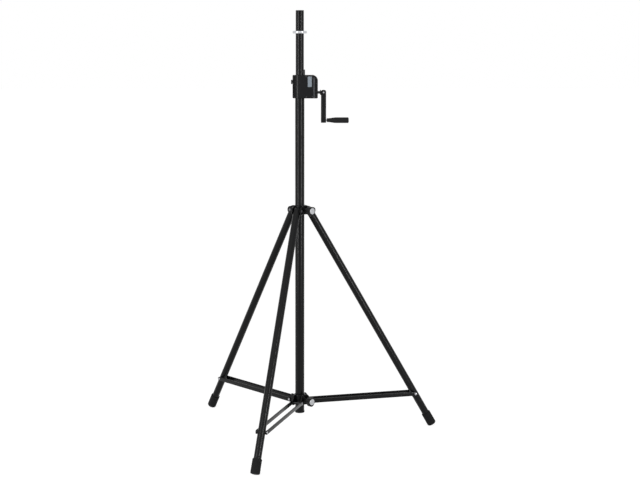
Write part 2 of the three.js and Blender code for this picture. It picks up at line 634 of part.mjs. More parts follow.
// The bolt's shank ends inside the bar, clear of the leg's boss.
function strutBolt(side) {
  const seat = barOuter + SEAT;
  const body = turned([[0, barInner + 0.2], [STRUT.pin, barInner + 0.2], [STRUT.pin, seat], [STRUT.head, seat],
    [STRUT.head, seat + STRUT.headLength], [0, seat + STRUT.headLength]], SMALL);
  return onStrut(along(body, [0, side, 0], [strutLength, 0, 0]));
}

// ---------------------------------------------------------------- assembly

node('main_tube', mainTube(), 'powder');
node('tube_end_cap', endCap(), 'plastic');
node('housing_body', housingBody(), 'plastic');
node('housing_cover', housingCover(), 'plastic');
coverScrewPlaces().forEach((place, i) => node(`cover_screw_${i + 1}`, coverScrew(place), 'steel'));
node('housing_end', housingEnd(), 'plastic');
node('guide_bush', guideBush(), 'plastic');
node('shaft_bush_front', shaftBush(-HOUSING.front + 0.5, -HOUSING.front + 2), 'brass');
node('shaft_bush_rear', shaftBush(-HOUSING.back, -HOUSING.back + HOUSING.wall + 1), 'brass');
node('crank_bush', crankBush(), 'brass');

node('pole', pole(), 'powder');
node('pole_top_plug', poleTopPlug(), 'plastic');
node('lower_glide', lowerGlide(), 'plastic');
node('rack', rack(), 'steel');
node('stop_block', stopBlock(), 'steel');
node('stop_ring', stopRing(), 'chrome');

node('pinion_shaft', pinionShaft(), 'steel');
node('worm_wheel', wormWheel(), 'brass');
node('crank_shaft', crankShaft(), 'steel');
node('crank_collar', crankCollar(), 'plastic');
node('crank_arm', crankArm(), 'powder');
node('crank_bolt', crankBolt(), 'steel');
node('grip_spindle', gripSpindle(), 'steel');
node('crank_grip', crankGrip(), 'rubber');
node('lock_knob', lockKnob(), 'plastic');

const upperCheek = slotHalf + CHEEK;
const lowerCheek = barInner - CLEAR;
node('upper_collar', aroundZ(collar(UPPER, LEG.pivotRadius, LEG.pivotHeight, upperCheek, UPPER.bolt), LEG.azimuth),
  'plastic');
node('lower_collar', aroundZ(collar(LOWER, LOWER.pivotRadius, LOWER.pivotHeight, lowerCheek, STRUT.pin), LEG.azimuth),
  'plastic');
clampPieces(UPPER, 'upper');
clampPieces(LOWER, 'lower');

['right', 'back', 'front'].forEach((name, i) => {
  const turn = LEG.azimuth + 120 * i;
  const set = (body) => aroundZ(body, turn);
  node(`leg_${name}`, set(leg()), 'powder');
  node(`foot_${name}`, set(foot()), 'rubber');
  node(`leg_bolt_${name}`, set(crossBolt(
    UPPER.bolt, UPPER.head, upperCheek + SEAT, 3, LEG.pivotRadius, LEG.pivotHeight)), 'steel');
  node(`strut_pin_${name}`, set(crossBolt(
    STRUT.pin, STRUT.head, barOuter + SEAT, STRUT.headLength, LOWER.pivotRadius, LOWER.pivotHeight)), 'steel');
  for (const [side, tag] of [[-1, 'a'], [1, 'b']]) {
    node(`strut_bar_${name}_${tag}`, set(strutBar(side)), 'powder');
    node(`strut_bolt_${name}_${tag}`, set(strutBolt(side)), 'steel');
  }
});

// The origin goes to the middle of the box at floor level.
const box = new THREE.Box3().setFromObject(part);
const centre = box.getCenter(new THREE.Vector3());
for (const mesh of part.children) mesh.geometry.translate(-centre.x, -centre.y, -box.min.z);

export default part;
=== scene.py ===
# Crank lighting stand: a tripod with two sliding collars, a mast tube, and a toothed pole that a
# worm winch winds up. The script follows the stand as it is put together, from the mast outwards.
import json
import math

import bmesh
import bpy
import numpy as np
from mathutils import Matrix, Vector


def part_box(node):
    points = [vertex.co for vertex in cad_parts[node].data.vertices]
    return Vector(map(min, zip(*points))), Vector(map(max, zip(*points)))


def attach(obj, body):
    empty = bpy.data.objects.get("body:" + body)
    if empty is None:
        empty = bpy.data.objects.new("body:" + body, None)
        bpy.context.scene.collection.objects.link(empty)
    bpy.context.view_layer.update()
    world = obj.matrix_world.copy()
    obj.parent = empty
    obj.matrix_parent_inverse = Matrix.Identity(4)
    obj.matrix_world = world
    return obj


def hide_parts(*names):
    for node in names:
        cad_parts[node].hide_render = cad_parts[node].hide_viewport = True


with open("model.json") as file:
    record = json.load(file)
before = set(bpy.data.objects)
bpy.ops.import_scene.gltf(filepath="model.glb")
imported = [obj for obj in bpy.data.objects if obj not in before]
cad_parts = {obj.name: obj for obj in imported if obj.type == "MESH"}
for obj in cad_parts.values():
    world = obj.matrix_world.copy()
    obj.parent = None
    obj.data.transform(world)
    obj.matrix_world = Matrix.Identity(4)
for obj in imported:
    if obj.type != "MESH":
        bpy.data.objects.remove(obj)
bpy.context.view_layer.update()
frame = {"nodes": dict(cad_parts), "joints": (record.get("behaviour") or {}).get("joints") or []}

NODES = frame["nodes"]
JOINTS = {j["name"]: j for j in frame["joints"]}
MM = 0.001


# ------------------------------------------------------------------ mast tube and its end cap
# The 40 mm outer tube is drawn steel with a semi-gloss black powder coat, and carries the winch on
# top. A moulded cap with a rounded rim is pushed into its lower end.

low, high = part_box("main_tube")
MAST = np.array([(low.x + high.x) / 2, (low.y + high.y) / 2, 0.0])
TUBE_BOTTOM = low.z / MM
TUBE_RADIUS = (high.x - low.x) / 2 / MM
TUBE_WALL = 1.5


def softened(path, radius, closed=True, steps=5):
    """Each corner p, with unit vectors a and b along its two sides, becomes the curve
    p + a t (1 - s)^2 + b t s^2 for s from 0 to 1, where t is the radius over tan(half the corner)."""
    p = np.asarray(path, float)
    before, after = np.roll(p, 1, 0) - p, np.roll(p, -1, 0) - p
    la, lb = np.linalg.norm(before, axis=1), np.linalg.norm(after, axis=1)
    a, b = before / la[:, None], after / lb[:, None]
    half = np.arccos(np.clip((a * b).sum(1), -0.9999, 0.9999)) / 2
    t = np.minimum(np.broadcast_to(radius, len(p)) / np.tan(half), 0.48 * np.minimum(la, lb))
    if not closed:
        t[[0, -1]] = 0
    s = np.linspace(0, 1, steps + 1)[None, :, None]
    curve = p[:, None] + (a * t[:, None])[:, None] * (1 - s) ** 2 + (b * t[:, None])[:, None] * s**2
    return curve.reshape(-1, 2)


def turned(profile, sides=96):
    """A profile of (radius, height) turned about Z: x = r cos a, y = r sin a, z = h."""
    r, h = np.asarray(profile, float).T
    a = np.linspace(0, 2 * np.pi, sides, endpoint=False)
    return np.stack([np.outer(r, np.cos(a)), np.outer(r, np.sin(a)), np.outer(h, np.ones(sides))], -1)


def placed(loops, origin, direction=(0, 0, 1), across=None):
    """Points made about Z are carried to the frame whose Z is `direction` and X is nearest `across`."""
    z = np.asarray(direction, float)
    z = z / np.linalg.norm(z)
    hint = np.asarray(across if across is not None else ([1, 0, 0] if abs(z[0]) < 0.9 else [0, 1, 0]), float)
    x = hint - z * (hint @ z)
    x = x / np.linalg.norm(x)
    return np.asarray(loops) @ np.stack([x, np.cross(z, x), z]) + np.asarray(origin, float)


def shell(bm, loops, ring=False, flat_ends=False):
    """Joins rows of closed loops into quads. A ring's last row meets its first, and flat ends are capped."""
    rows, count = loops.shape[:2]
    index = np.arange(rows * count).reshape(rows, count)
    upper = np.roll(index, -1, 0) if ring else index[1:]
    lower = index if ring else index[:-1]
    quads = np.stack([lower, np.roll(lower, -1, 1), np.roll(upper, -1, 1), upper], -1).reshape(-1, 4).tolist()
    if flat_ends:
        quads += [index[0][::-1].tolist(), index[-1].tolist()]
    mesh = bpy.data.meshes.new("shell")
    mesh.from_pydata((loops.reshape(-1, 3) * MM).tolist(), [], quads)
    part = bmesh.new()
    part.from_mesh(mesh)
    bmesh.ops.remove_doubles(part, verts=part.verts, dist=1e-6)
    bmesh.ops.dissolve_degenerate(part, edges=part.edges, dist=1e-7)
    bmesh.ops.recalc_face_normals(part, faces=part.faces)
    part.to_mesh(mesh)
    part.free()
    bm.from_mesh(mesh)
    bpy.data.meshes.remove(mesh)


def mesh_from(name, shells):
    """The shells, in millimetres from the mast's foot, as one mesh in metres."""
    bm = bmesh.new()
    for loops, how in shells:
        shell(bm, np.asarray(loops) + MAST / MM, **how)
    mesh = bpy.data.meshes.new(name)
    bm.to_mesh(mesh)
    bm.free()
    return mesh


SHARP = math.radians(38)


def piece(name, shells, material, body, nodes=()):
    """One finished piece from its shells, riding on a body. An edge stays crisp where its two faces
    meet at more than the sharp angle."""
    mesh = mesh_from(name, shells)
    mesh.shade_smooth()
    mesh.set_sharp_from_angle(angle=SHARP)
    obj = bpy.data.objects.new(name, mesh)
    bpy.context.scene.collection.objects.link(obj)
    mesh.materials.append(material)
    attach(obj, body)
    if nodes:
        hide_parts(*nodes)
    return obj


CAPPED = {}
RING = {"ring": True}
ENDS = {"flat_ends": True}


COAT_IOR = 1.25
SLOW_GRAIN = 14.0
RELIEF = 0.0004


def finish(name, colour, roughness, metallic=0.0, grain=900.0, bump=0.05, mottle=0.12, stretch=(1, 1, 1)):
    """A moulded, coated or machined surface. A fine noise is its relief, and a slow noise runs its
    colour from (1 - mottle) to (1 + mottle) of itself and its roughness by 1.2 times that share."""
    material = bpy.data.materials.new(name)
    material.use_nodes = True
    nodes, links = material.node_tree.nodes, material.node_tree.links
    shader = nodes["Principled BSDF"]
    shader.inputs["Metallic"].default_value = metallic
    shader.inputs["IOR"].default_value = COAT_IOR
    place = nodes.new("ShaderNodeTexCoord")
    mapping = nodes.new("ShaderNodeMapping")
    mapping.inputs["Scale"].default_value = stretch
    links.new(place.outputs["Object"], mapping.inputs["Vector"])
    fine = nodes.new("ShaderNodeTexNoise")
    fine.inputs["Scale"].default_value = grain
    fine.inputs["Detail"].default_value = 3.0
    slow = nodes.new("ShaderNodeTexNoise")
    slow.inputs["Scale"].default_value = SLOW_GRAIN
    slow.inputs["Detail"].default_value = 5.0
    links.new(mapping.outputs["Vector"], fine.inputs["Vector"])
    links.new(place.outputs["Object"], slow.inputs["Vector"])
    tint = nodes.new("ShaderNodeMixRGB")
    tint.inputs["Color1"].default_value = (*[c * (1 - mottle) for c in colour], 1)
    tint.inputs["Color2"].default_value = (*[min(c * (1 + mottle), 1) for c in colour], 1)
    links.new(slow.outputs["Fac"], tint.inputs["Fac"])
    links.new(tint.outputs["Color"], shader.inputs["Base Color"])
    gloss = nodes.new("ShaderNodeMapRange")
    gloss.inputs["To Min"].default_value = roughness * (1 - 1.2 * mottle)
    gloss.inputs["To Max"].default_value = roughness * (1 + 1.2 * mottle)
    links.new(slow.outputs["Fac"], gloss.inputs["Value"])
    links.new(gloss.outputs["Result"], shader.inputs["Roughness"])
    relief = nodes.new("ShaderNodeBump")
    relief.inputs["Strength"].default_value = bump
    relief.inputs["Distance"].default_value = RELIEF
    links.new(fine.outputs["Fac"], relief.inputs["Height"])
    links.new(relief.outputs["Normal"], shader.inputs["Normal"])
    return material


POWDER = finish("black_powder_coat", (0.003, 0.003, 0.0034), 0.24, grain=1300, bump=0.008, mottle=0.06)
PLASTIC = finish("black_moulded_plastic", (0.006, 0.006, 0.0065), 0.45, grain=2200, bump=0.1)


def tube(inner, outer, bottom, top, edge=0.5):
    """A tube's wall as a closed profile with softened rims."""
    return softened([[inner, bottom], [outer, bottom], [outer, top], [inner, top]], edge, steps=3)


TUBE_END_IN_WINCH = 1504.0
wall = tube(TUBE_RADIUS - TUBE_WALL, TUBE_RADIUS, TUBE_BOTTOM, TUBE_END_IN_WINCH)
piece("mast_outer_tube", [(turned(wall), RING)], POWDER, "mast_tube", ["main_tube"])

low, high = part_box("tube_end_cap")
cap_rim = (high.x - low.x) / 2 / MM
cap_bottom, cap_top = low.z / MM, high.z / MM
PUSH_FIT = 0.3
CAP_DISH, CAP_FOOT_IN, CAP_FOOT_OUT = 0.6, 6.0, 4.5
plug = TUBE_RADIUS - TUBE_WALL - PUSH_FIT
cap = [[0, cap_bottom + CAP_DISH], [cap_rim - CAP_FOOT_IN, cap_bottom + CAP_DISH],
       [cap_rim - CAP_FOOT_OUT, cap_bottom], [cap_rim, cap_bottom],
       [cap_rim, TUBE_BOTTOM - PUSH_FIT], [plug, TUBE_BOTTOM - PUSH_FIT], [plug, cap_top], [0, cap_top]]
piece("mast_tube_cap", [(turned(softened(cap, [0, 1, 1, 3.5, 0.8, 0.2, 1, 0], closed=False)), CAPPED)],
      PLASTIC, "mast_tube", ["tube_end_cap"])


# ------------------------------------------------------------------ pole
# The 35 mm inner pole has the same coat. A slot down its side holds the rack flush, and its bare
# upper end has a pin hole with two small holes below it. A plastic disc closes its top.

low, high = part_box("pole")
POLE_RADIUS = 17.5
POLE_WALL = 2.0
POLE_BOTTOM, POLE_TOP = low.z / MM, high.z / MM
SLOT_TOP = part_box("housing_body")[1].z / MM
SLOT_HALF = 4.25


def slotted_tube(bottom, top):
    """A C-shaped wall raised along Z: an outer arc, one edge of the slot, an inner arc back, and the
    other edge. Each arc stops at the angle whose sine is half the slot over the arc's radius."""
    outer_gap = math.asin(SLOT_HALF / POLE_RADIUS)
    inner_gap = math.asin(SLOT_HALF / (POLE_RADIUS - POLE_WALL))
    out = np.linspace(outer_gap, 2 * np.pi - outer_gap, 92)
    back = np.linspace(2 * np.pi - inner_gap, inner_gap, 92)
    outline = np.concatenate([
        POLE_RADIUS * np.stack([np.cos(out), np.sin(out)], 1),
        (POLE_RADIUS - POLE_WALL) * np.stack([np.cos(back), np.sin(back)], 1)])
    return np.stack([np.column_stack([outline, np.full(len(outline), z)]) for z in (bottom, top)])


def cut_to_shape(obj, added=(), removed=(), voxel=0.0, rounds=0):
    """Joins shells to a piece, takes others out of it, and can then re-skin it in even faces of one
    voxel and ease its edges by moving each point towards its neighbours' mean, `rounds` times."""
    helpers = []
    for operation, shells in (("UNION", added), ("DIFFERENCE", removed)):
        for one_shell in shells:
            helper = bpy.data.objects.new("helper", mesh_from("helper", [one_shell]))
            bpy.context.scene.collection.objects.link(helper)
            step = obj.modifiers.new("step", "BOOLEAN")
            step.operation, step.solver, step.object = operation, "MANIFOLD", helper
            helpers.append(helper)
    if voxel:
        skin = obj.modifiers.new("skin", "REMESH")
        skin.mode, skin.voxel_size = "VOXEL", voxel * MM
        ease = obj.modifiers.new("ease", "SMOOTH")
        ease.factor, ease.iterations = 0.5, rounds
    graph = bpy.context.evaluated_depsgraph_get()
    mesh = bpy.data.meshes.new_from_object(obj.evaluated_get(graph))
    old, name = obj.data, obj.data.name
    obj.modifiers.clear()
    obj.data = mesh
    bpy.data.meshes.remove(old)
    mesh.name = name
    for helper in helpers:
        drill = helper.data
        bpy.data.objects.remove(helper)
        bpy.data.meshes.remove(drill)
    mesh.shade_smooth()
    mesh.set_sharp_from_angle(angle=SHARP)


PIN_HOLE = (1842, 3.5)
SMALL_HOLES = ((1793, 2.2), (1779.5, 2.2))
ROWS_BY_HOLES = (1775, 1784, 1789, 1798, 1836, 1848)
DRILL_REACH = 25
bare_end = np.array([[POLE_RADIUS - POLE_WALL, SLOT_TOP], [POLE_RADIUS, SLOT_TOP]]
                    + [[POLE_RADIUS, z] for z in ROWS_BY_HOLES]
                    + [[POLE_RADIUS, POLE_TOP - 1.2], [POLE_RADIUS - 0.4, POLE_TOP - 0.3],
                       [POLE_RADIUS - 1, POLE_TOP], [POLE_RADIUS - POLE_WALL, POLE_TOP]])
pole = piece("pole_tube", [(turned(bare_end), RING)], POWDER, "pole", ["pole"])
holes = []
for z, r in (PIN_HOLE, *SMALL_HOLES):
    drill = turned([[0, 0], [r, 0], [r, DRILL_REACH], [0, DRILL_REACH]], 32)
    holes.append((placed(drill, [0, 0, z], [0, -1, 0]), CAPPED))
cut_to_shape(pole, removed=holes)
piece("pole_slotted_tube", [(slotted_tube(POLE_BOTTOM, SLOT_TOP), ENDS)], POWDER, "pole")

DISC_FIT, DISC_THICK = 0.25, 5
plug = POLE_RADIUS - POLE_WALL - DISC_FIT
top_disc = [[0, POLE_TOP - DISC_THICK], [plug, POLE_TOP - DISC_THICK], [plug, POLE_TOP], [0, POLE_TOP]]
piece("pole_top_disc", [(turned(softened(top_disc, [0, 0.5, 0.8, 0], closed=False)), CAPPED)],
      PLASTIC, "pole", ["pole_top_plug"])


# ------------------------------------------------------------------ rack, stop block and stop ring
# The steel rack lies in the pole's slot with its teeth outwards. A small block screwed on above it
# meets the winch when the pole is down, and a polished ring clamped round the pole carries whatever is
# pushed over its end.

STEEL = finish("bright_zinc_steel", (0.42, 0.42, 0.44), 0.3, metallic=1.0, grain=500, bump=0.05, mottle=0.1,
               stretch=(1, 1, 0.2))
CHROME = finish("polished_chrome", (0.55, 0.56, 0.58), 0.12, metallic=1.0, grain=300, bump=0.02, mottle=0.08)
DARK_STEEL = finish("blackened_steel", (0.04, 0.04, 0.042), 0.42, metallic=0.8, grain=700, bump=0.08,
                    mottle=0.15)


def refinished(material, *names):
    """CAD pieces that are kept as they are take a finished material."""
    for name in names:
        NODES[name].data.materials.clear()
        NODES[name].data.materials.append(material)


refinished(DARK_STEEL, "rack")
refinished(PLASTIC, "lower_glide", "guide_bush")

low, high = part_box("stop_ring")
ring_radius = (high.x - low.x) / 2 / MM
ring_low, ring_high = low.z / MM, high.z / MM
RING_BORE = POLE_RADIUS + 0.3
RING_ROUND = 5
ring_profile = [[RING_BORE, ring_low], [ring_radius, ring_low],
                [ring_radius, ring_high], [RING_BORE, ring_high]]
ring_loops = turned(softened(ring_profile, [0.6, RING_ROUND, RING_ROUND, 0.6], steps=8), 128)
piece("pole_stop_ring", [(ring_loops, RING)], CHROME, "pole", ["stop_ring"])


def plate(outline, low, high, edge=0.6, steps=3):
    """A flat outline made thick along Z. Towards each face its loop is drawn in by e (1 - sin a)
    while the height moves by e (1 - cos a), which rounds the rim."""
    p = np.asarray(outline, float)
    along = np.roll(p, -1, 0) - np.roll(p, 1, 0)
    along /= np.maximum(np.linalg.norm(along, axis=1), 1e-9)[:, None]
    turn = np.sign(np.sum(p[:, 0] * np.roll(p[:, 1], -1) - np.roll(p[:, 0], -1) * p[:, 1]))
    out = np.stack([along[:, 1], -along[:, 0]], 1) * turn
    a = np.linspace(0, np.pi / 2, steps + 1)
    inset = edge * (1 - np.sin(a))
    rise = edge * (1 - np.cos(a))
    insets = np.concatenate([inset, inset[::-1]])
    heights = np.concatenate([low + rise, high - rise[::-1]])
    loops = p[None] - out[None] * insets[:, None, None]
    return np.concatenate([loops, np.broadcast_to(heights[:, None, None], loops.shape[:2] + (1,))], -1)


def facing_front(loops):
    """A plate made about Z is stood up: (x, y, z) becomes (x, -z, y), so its height runs along -Y."""
    return np.stack([loops[..., 0], -loops[..., 2], loops[..., 1]], -1)


def rectangle(u0, u1, v0, v1, radii, steps=6):
    """A rectangle from (u0, v0) to (u1, v1). Its corners run anticlockwise from the lower left, and
    each can have its own radius."""
    return softened([[u0, v0], [u1, v0], [u1, v1], [u0, v1]], radii, steps=steps)


low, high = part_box("stop_block")
u0, u1 = (low.x - MAST[0]) / MM, (high.x - MAST[0]) / MM
BLOCK_HALF = 6
block = plate(rectangle(u0, u1, low.z / MM, high.z / MM, [0.8, 1, 3, 0.6]), -BLOCK_HALF, BLOCK_HALF, 0.8)
piece("pole_stop_block", [(facing_front(block), ENDS)], DARK_STEEL, "pole", ["stop_block"])


# ------------------------------------------------------------------ winch housing
# A black-coated casting: a round sleeve clamps the mast tube, a ribbed flange stands on the far side
# of it, and the gear box on the near side is closed by a flat front cover and a rounded end casting.

CAST = finish("black_coated_casting", (0.004, 0.004, 0.0044), 0.3, grain=750, bump=0.06, mottle=0.1)
COVER = finish("black_cover_enamel", (0.005, 0.0053, 0.006), 0.33, grain=1100, bump=0.08, mottle=0.1)

low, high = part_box("housing_body")
BOX_LOW, BOX_HIGH = low.z / MM, high.z / MM
BOX_LEFT, BOX_SPLIT = (low.x - MAST[0]) / MM, (high.x - MAST[0]) / MM
BOX_FRONT, BOX_BACK = -28.0, 20.0
SLEEVE = 27.0
RIB_HALF = 15.0
EASED = 1.2
POCKETS, POCKET_FIRST, POCKET_STEP, POCKET_HEIGHT, POCKET_DEPTH = 3, 9, 29, 23, 5
ROOM_WALLS = {"split": 4, "front": 3, "back": 5}
BORE_FIT, BORE_OVER = 0.3, 5


def slab(x0, x1, y0, y1, z0, z1, corner, edge=EASED):
    """A block from (x0, y0, z0) to (x1, y1, z1) with rounded corners in plan and eased rims."""
    return plate(rectangle(x0, x1, y0, y1, corner, steps=4), z0, z1, edge)


def room(x0, z0, z1):
    """A hollow from x0 to the box's end wall, between its front and back walls, from z0 to z1."""
    return slab(x0, BOX_SPLIT - ROOM_WALLS["split"], BOX_FRONT - ROOM_WALLS["front"],
                BOX_BACK - ROOM_WALLS["back"], z0, z1, 1, 1)


def bore(radius, bottom, top):
    """A round drill on the mast's axis that runs a little past both ends."""
    return turned([[0, bottom - BORE_OVER], [radius, bottom - BORE_OVER],
                   [radius, top + BORE_OVER], [0, top + BORE_OVER]])


flange = plate(rectangle(BOX_LEFT, 0, BOX_LOW, BOX_HIGH, [5, 0.5, 0.5, 5]), -RIB_HALF, RIB_HALF, EASED)
gear_box = slab(0, BOX_SPLIT, BOX_FRONT, BOX_BACK, BOX_LOW, BOX_HIGH, EASED)
sleeve = turned(softened([[0, BOX_LOW], [SLEEVE, BOX_LOW], [SLEEVE, BOX_HIGH], [0, BOX_HIGH]],
                         [0, EASED, EASED, 0], closed=False), 96)
housing = piece("winch_housing", [(gear_box, ENDS)], CAST, "mast_tube", ["housing_body"])
pockets = []
for side in (-1, 1):
    for k in range(POCKETS):
        z0 = BOX_LOW + POCKET_FIRST + POCKET_STEP * k
        y0, y1 = sorted((side * (RIB_HALF - POCKET_DEPTH), side * (RIB_HALF + POCKET_DEPTH)))
        pockets.append((slab(BOX_LEFT + 3, BOX_LEFT + 12, y0, y1, z0, z0 + POCKET_HEIGHT, 2, 1), ENDS))
gear_room = room(14.0, BOX_LOW + 28, BOX_HIGH - 6)
worm_room = room(22.0, BOX_LOW + 7, BOX_LOW + 36)
tube_bore = bore(TUBE_RADIUS + BORE_FIT, BOX_LOW, BOX_HIGH)
cut_to_shape(housing, [(facing_front(flange), ENDS), (sleeve, CAPPED)],
             pockets + [(gear_room, ENDS), (worm_room, ENDS), (tube_bore, CAPPED)], voxel=0.8, rounds=2)

low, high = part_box("housing_cover")
face_back, face = -(high.y - MAST[1]) / MM, -(low.y - MAST[1]) / MM
cu0, cu1 = (low.x - MAST[0]) / MM, (high.x - MAST[0]) / MM
cz0, cz1 = low.z / MM, high.z / MM
cover = plate(rectangle(cu0, cu1, cz0, cz1, 4), face_back, face, 1.0)
piece("winch_cover", [(facing_front(cover), ENDS)], COVER, "mast_tube", ["housing_cover"])

# A raised strip on the end casting follows the cover's outer edge. Its grey colour is a painted highlight
# along that lit edge.
STRIP_START, STRIP_END = 0.4, 7
PAINTED_HIGHLIGHT_EDGE = finish("painted_highlight_edge", (0.055, 0.057, 0.062), 0.42, metallic=0.3, grain=600, bump=0.15,
                   mottle=0.25)
strip = plate(rectangle(cu1 + STRIP_START, cu1 + STRIP_END, cz0 - 1, cz1 - STRIP_END, 2, steps=3),
              face_back + 1.4, face + 0.1, 0.9)
edge_strip = piece("winch_edge_strip", [(facing_front(strip), ENDS)], PAINTED_HIGHLIGHT_EDGE, "mast_tube")

# The bare rating plate is a pale blue-grey satin plate with an eased rim, and nothing on it.
PLATE = finish("pale_blue_grey_plate", (0.27, 0.31, 0.35), 0.4, grain=400, bump=0.03, mottle=0.05)
PLATE_LEFT, PLATE_RIGHT, PLATE_LOW, PLATE_HIGH = 34, 51, 1533, 1577
label = plate(rectangle(PLATE_LEFT, PLATE_RIGHT, PLATE_LOW, PLATE_HIGH, 1.5, steps=4),
              face - 0.1, face + 0.5, 0.25)
label_piece = piece("winch_plate", [(facing_front(label), ENDS)], PLATE, "mast_tube")

low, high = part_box("housing_end")
end0, end1 = (low.x - MAST[0]) / MM, (high.x - MAST[0]) / MM
end_front, end_back = -(low.y - MAST[1]) / MM, -(high.y - MAST[1]) / MM
# The end casting's shoulder is a quarter ellipse: x = start + width sin a, z = top - fall (1 - cos a).
SHOULDER_START, SHOULDER_FALL = 52, 23
GROOVE_BOTTOMS, GROOVE_HEIGHT, GROOVE_DEPTH = (10, 26, 42), 9, 1.2
curve = np.linspace(math.asin((end0 - SHOULDER_START) / (end1 - SHOULDER_START)), np.pi / 2, 16)
shoulder = np.stack([SHOULDER_START + (end1 - SHOULDER_START) * np.sin(curve),
                     BOX_HIGH - SHOULDER_FALL * (1 - np.cos(curve))], 1)[::-1]
lower_part = softened([[end0, BOX_LOW], [end1, BOX_LOW], [end1, BOX_HIGH - SHOULDER_FALL]], [0.4, 6, 0],
                      closed=False)
end_block = plate(np.concatenate([lower_part, shoulder]), end_back, end_front, 2.2, 5)
grooves = []
for z in GROOVE_BOTTOMS:
    outline = rectangle(end0 + 5, end1 - 4, BOX_LOW + z, BOX_LOW + z + GROOVE_HEIGHT, 1.5, steps=3)
    grooves.append((facing_front(plate(outline, end_front - GROOVE_DEPTH, end_front + 3, 0.4)), ENDS))
end_piece = piece("winch_end_casting", [(facing_front(end_block), ENDS)], CAST, "mast_tube", ["housing_end"])
cut_to_shape(end_piece, removed=grooves, voxel=0.7, rounds=2)

# Four low screws with a recess in the middle hold the cover.
for k in range(1, 5):
    low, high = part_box(f"cover_screw_{k}")
    at = [((low.x + high.x) / 2 - MAST[0]) / MM, -face + 0.6, (low.z + high.z) / 2 / MM]
    r = (high.x - low.x) / 2 / MM
    dome = softened([[0, -0.8], [r, -0.8], [r, 0.6], [0.9, 1.0], [0.7, 0.3], [0, 0.3]],
                    [0, 0, 0.5, 0.1, 0.1, 0], closed=False)
    piece(f"cover_screw_head_{k}", [(placed(turned(dome, 32), at, [0, -1, 0]), CAPPED)],
          DARK_STEEL, "mast_tube", [f"cover_screw_{k}"])

# The gears and bushes inside are bronze and steel.
BRONZE = finish("gear_bronze", (0.5, 0.36, 0.16), 0.35, metallic=1.0, grain=500, bump=0.06)
refinished(BRONZE, "worm_wheel", "shaft_bush_front", "shaft_bush_rear", "crank_bush")
refinished(STEEL, "pinion_shaft")


def lobed(profile, lobes, depth, sides):
    """A turned profile whose radius is r times 1 - depth (0.5 - 0.5 cos(lobes a))."""
    r, h = np.asarray(profile, float).T
    a = np.linspace(0, 2 * np.pi, sides, endpoint=False)
    wave = 1 - depth * (0.5 - 0.5 * np.cos(lobes * a))
    return np.stack([np.outer(r, wave * np.cos(a)), np.outer(r, wave * np.sin(a)),
                     np.outer(h, np.ones(sides))], -1)


# The lock knob is a small fluted thumb wheel on a stud.
LOCK_THICK, LOCK_DISH, LOCK_FLUTES, LOCK_FLUTE_DEPTH, LOCK_STUD = 6.0, 0.8, 10, 0.12, 3
low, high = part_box("lock_knob")
lock_r = (high.z - low.z) / 2 / MM
lock_z = (high.z + low.z) / 2 / MM
lock_out = -(low.x - MAST[0]) / MM
lock_in = lock_out - LOCK_THICK
wheel = softened([[0, lock_in], [lock_r, lock_in], [lock_r, lock_out], [4, lock_out],
                  [3.5, lock_out - LOCK_DISH], [0, lock_out - LOCK_DISH]],
                 [0, 1, 1.6, 0.4, 0.4, 0], closed=False)
wheel_loops = lobed(wheel, LOCK_FLUTES, LOCK_FLUTE_DEPTH, 120)
stud = [[0, POLE_RADIUS + 0.4], [LOCK_STUD, POLE_RADIUS + 0.4], [LOCK_STUD, lock_in + 1], [0, lock_in + 1]]
piece("winch_lock_knob", [(placed(wheel_loops, [0, 0, lock_z], [-1, 0, 0]), CAPPED),
                          (placed(turned(stud, 32), [0, 0, lock_z], [-1, 0, 0]), CAPPED)],
      PLASTIC, "lock", ["lock_knob"])


# ------------------------------------------------------------------ crank
# A steel worm shaft leaves the housing through a bush. A black collar and a cast arm are fixed on it
# by one bright cross bolt, and a rubber grip turns on a steel spindle at the arm's end.

GRIP = finish("grip_rubber", (0.008, 0.008, 0.0085), 0.6, grain=1700, bump=0.2, mottle=0.12)
hinge = np.array(JOINTS["crank_turn"]["pos_m"])
CRANK_Y = (hinge[1] - MAST[1]) / MM
CRANK_Z = hinge[2] / MM
SHAFT = 5.75
WORM_CORE, WORM_TOOTH, WORM_PITCH, WORM_MIDDLE = 4.9, 4.9, 2.5 * np.pi, 34.0
THREAD_START, THREAD_END = 23.8, 44.3


def on_crank(loops, drop=0.0):
    """Points made about Z are laid along the crank's axis, or along a line `drop` below it."""
    return placed(loops, [0, CRANK_Y, CRANK_Z - drop], [1, 0, 0], [0, 0, 1])


def worm_shaft(x0, x1):
    """The radius is the core's, plus a tooth times 0.55 + 1.35 cos(2 pi x / pitch + a), kept between
    0 and 1, along the thread; past the thread it is the shaft's."""
    x = np.concatenate([[x0], np.linspace(THREAD_START, THREAD_END, 73), [THREAD_END + 0.05, x1 - 1, x1]])
    a = np.linspace(0, 2 * np.pi, 48, endpoint=False)
    phase = 2 * np.pi * (x[:, None] - WORM_MIDDLE) / WORM_PITCH + a[None] + np.pi
    ridge = np.clip(0.55 + 1.35 * np.cos(phase), 0, 1)
    inside = ((x > THREAD_START + 0.01) & (x < THREAD_END - 0.01))[:, None]
    r = np.where(inside, WORM_CORE + WORM_TOOTH * ridge, WORM_CORE)
    r[-3:] = SHAFT
    r[-1] = SHAFT - 1
    loops = np.stack([r * np.cos(a), r * np.sin(a), np.repeat(x[:, None], len(a), 1)], -1)
    ends = loops[[0, -1]] * np.array([0, 0, 1])
    return np.concatenate([ends[:1], loops, ends[1:]])


low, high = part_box("crank_shaft")
shaft0, shaft1 = (low.x - MAST[0]) / MM, (high.x - MAST[0]) / MM
piece("crank_worm_shaft", [(on_crank(worm_shaft(shaft0, shaft1)), CAPPED)], DARK_STEEL,
      "crank", ["crank_shaft"])

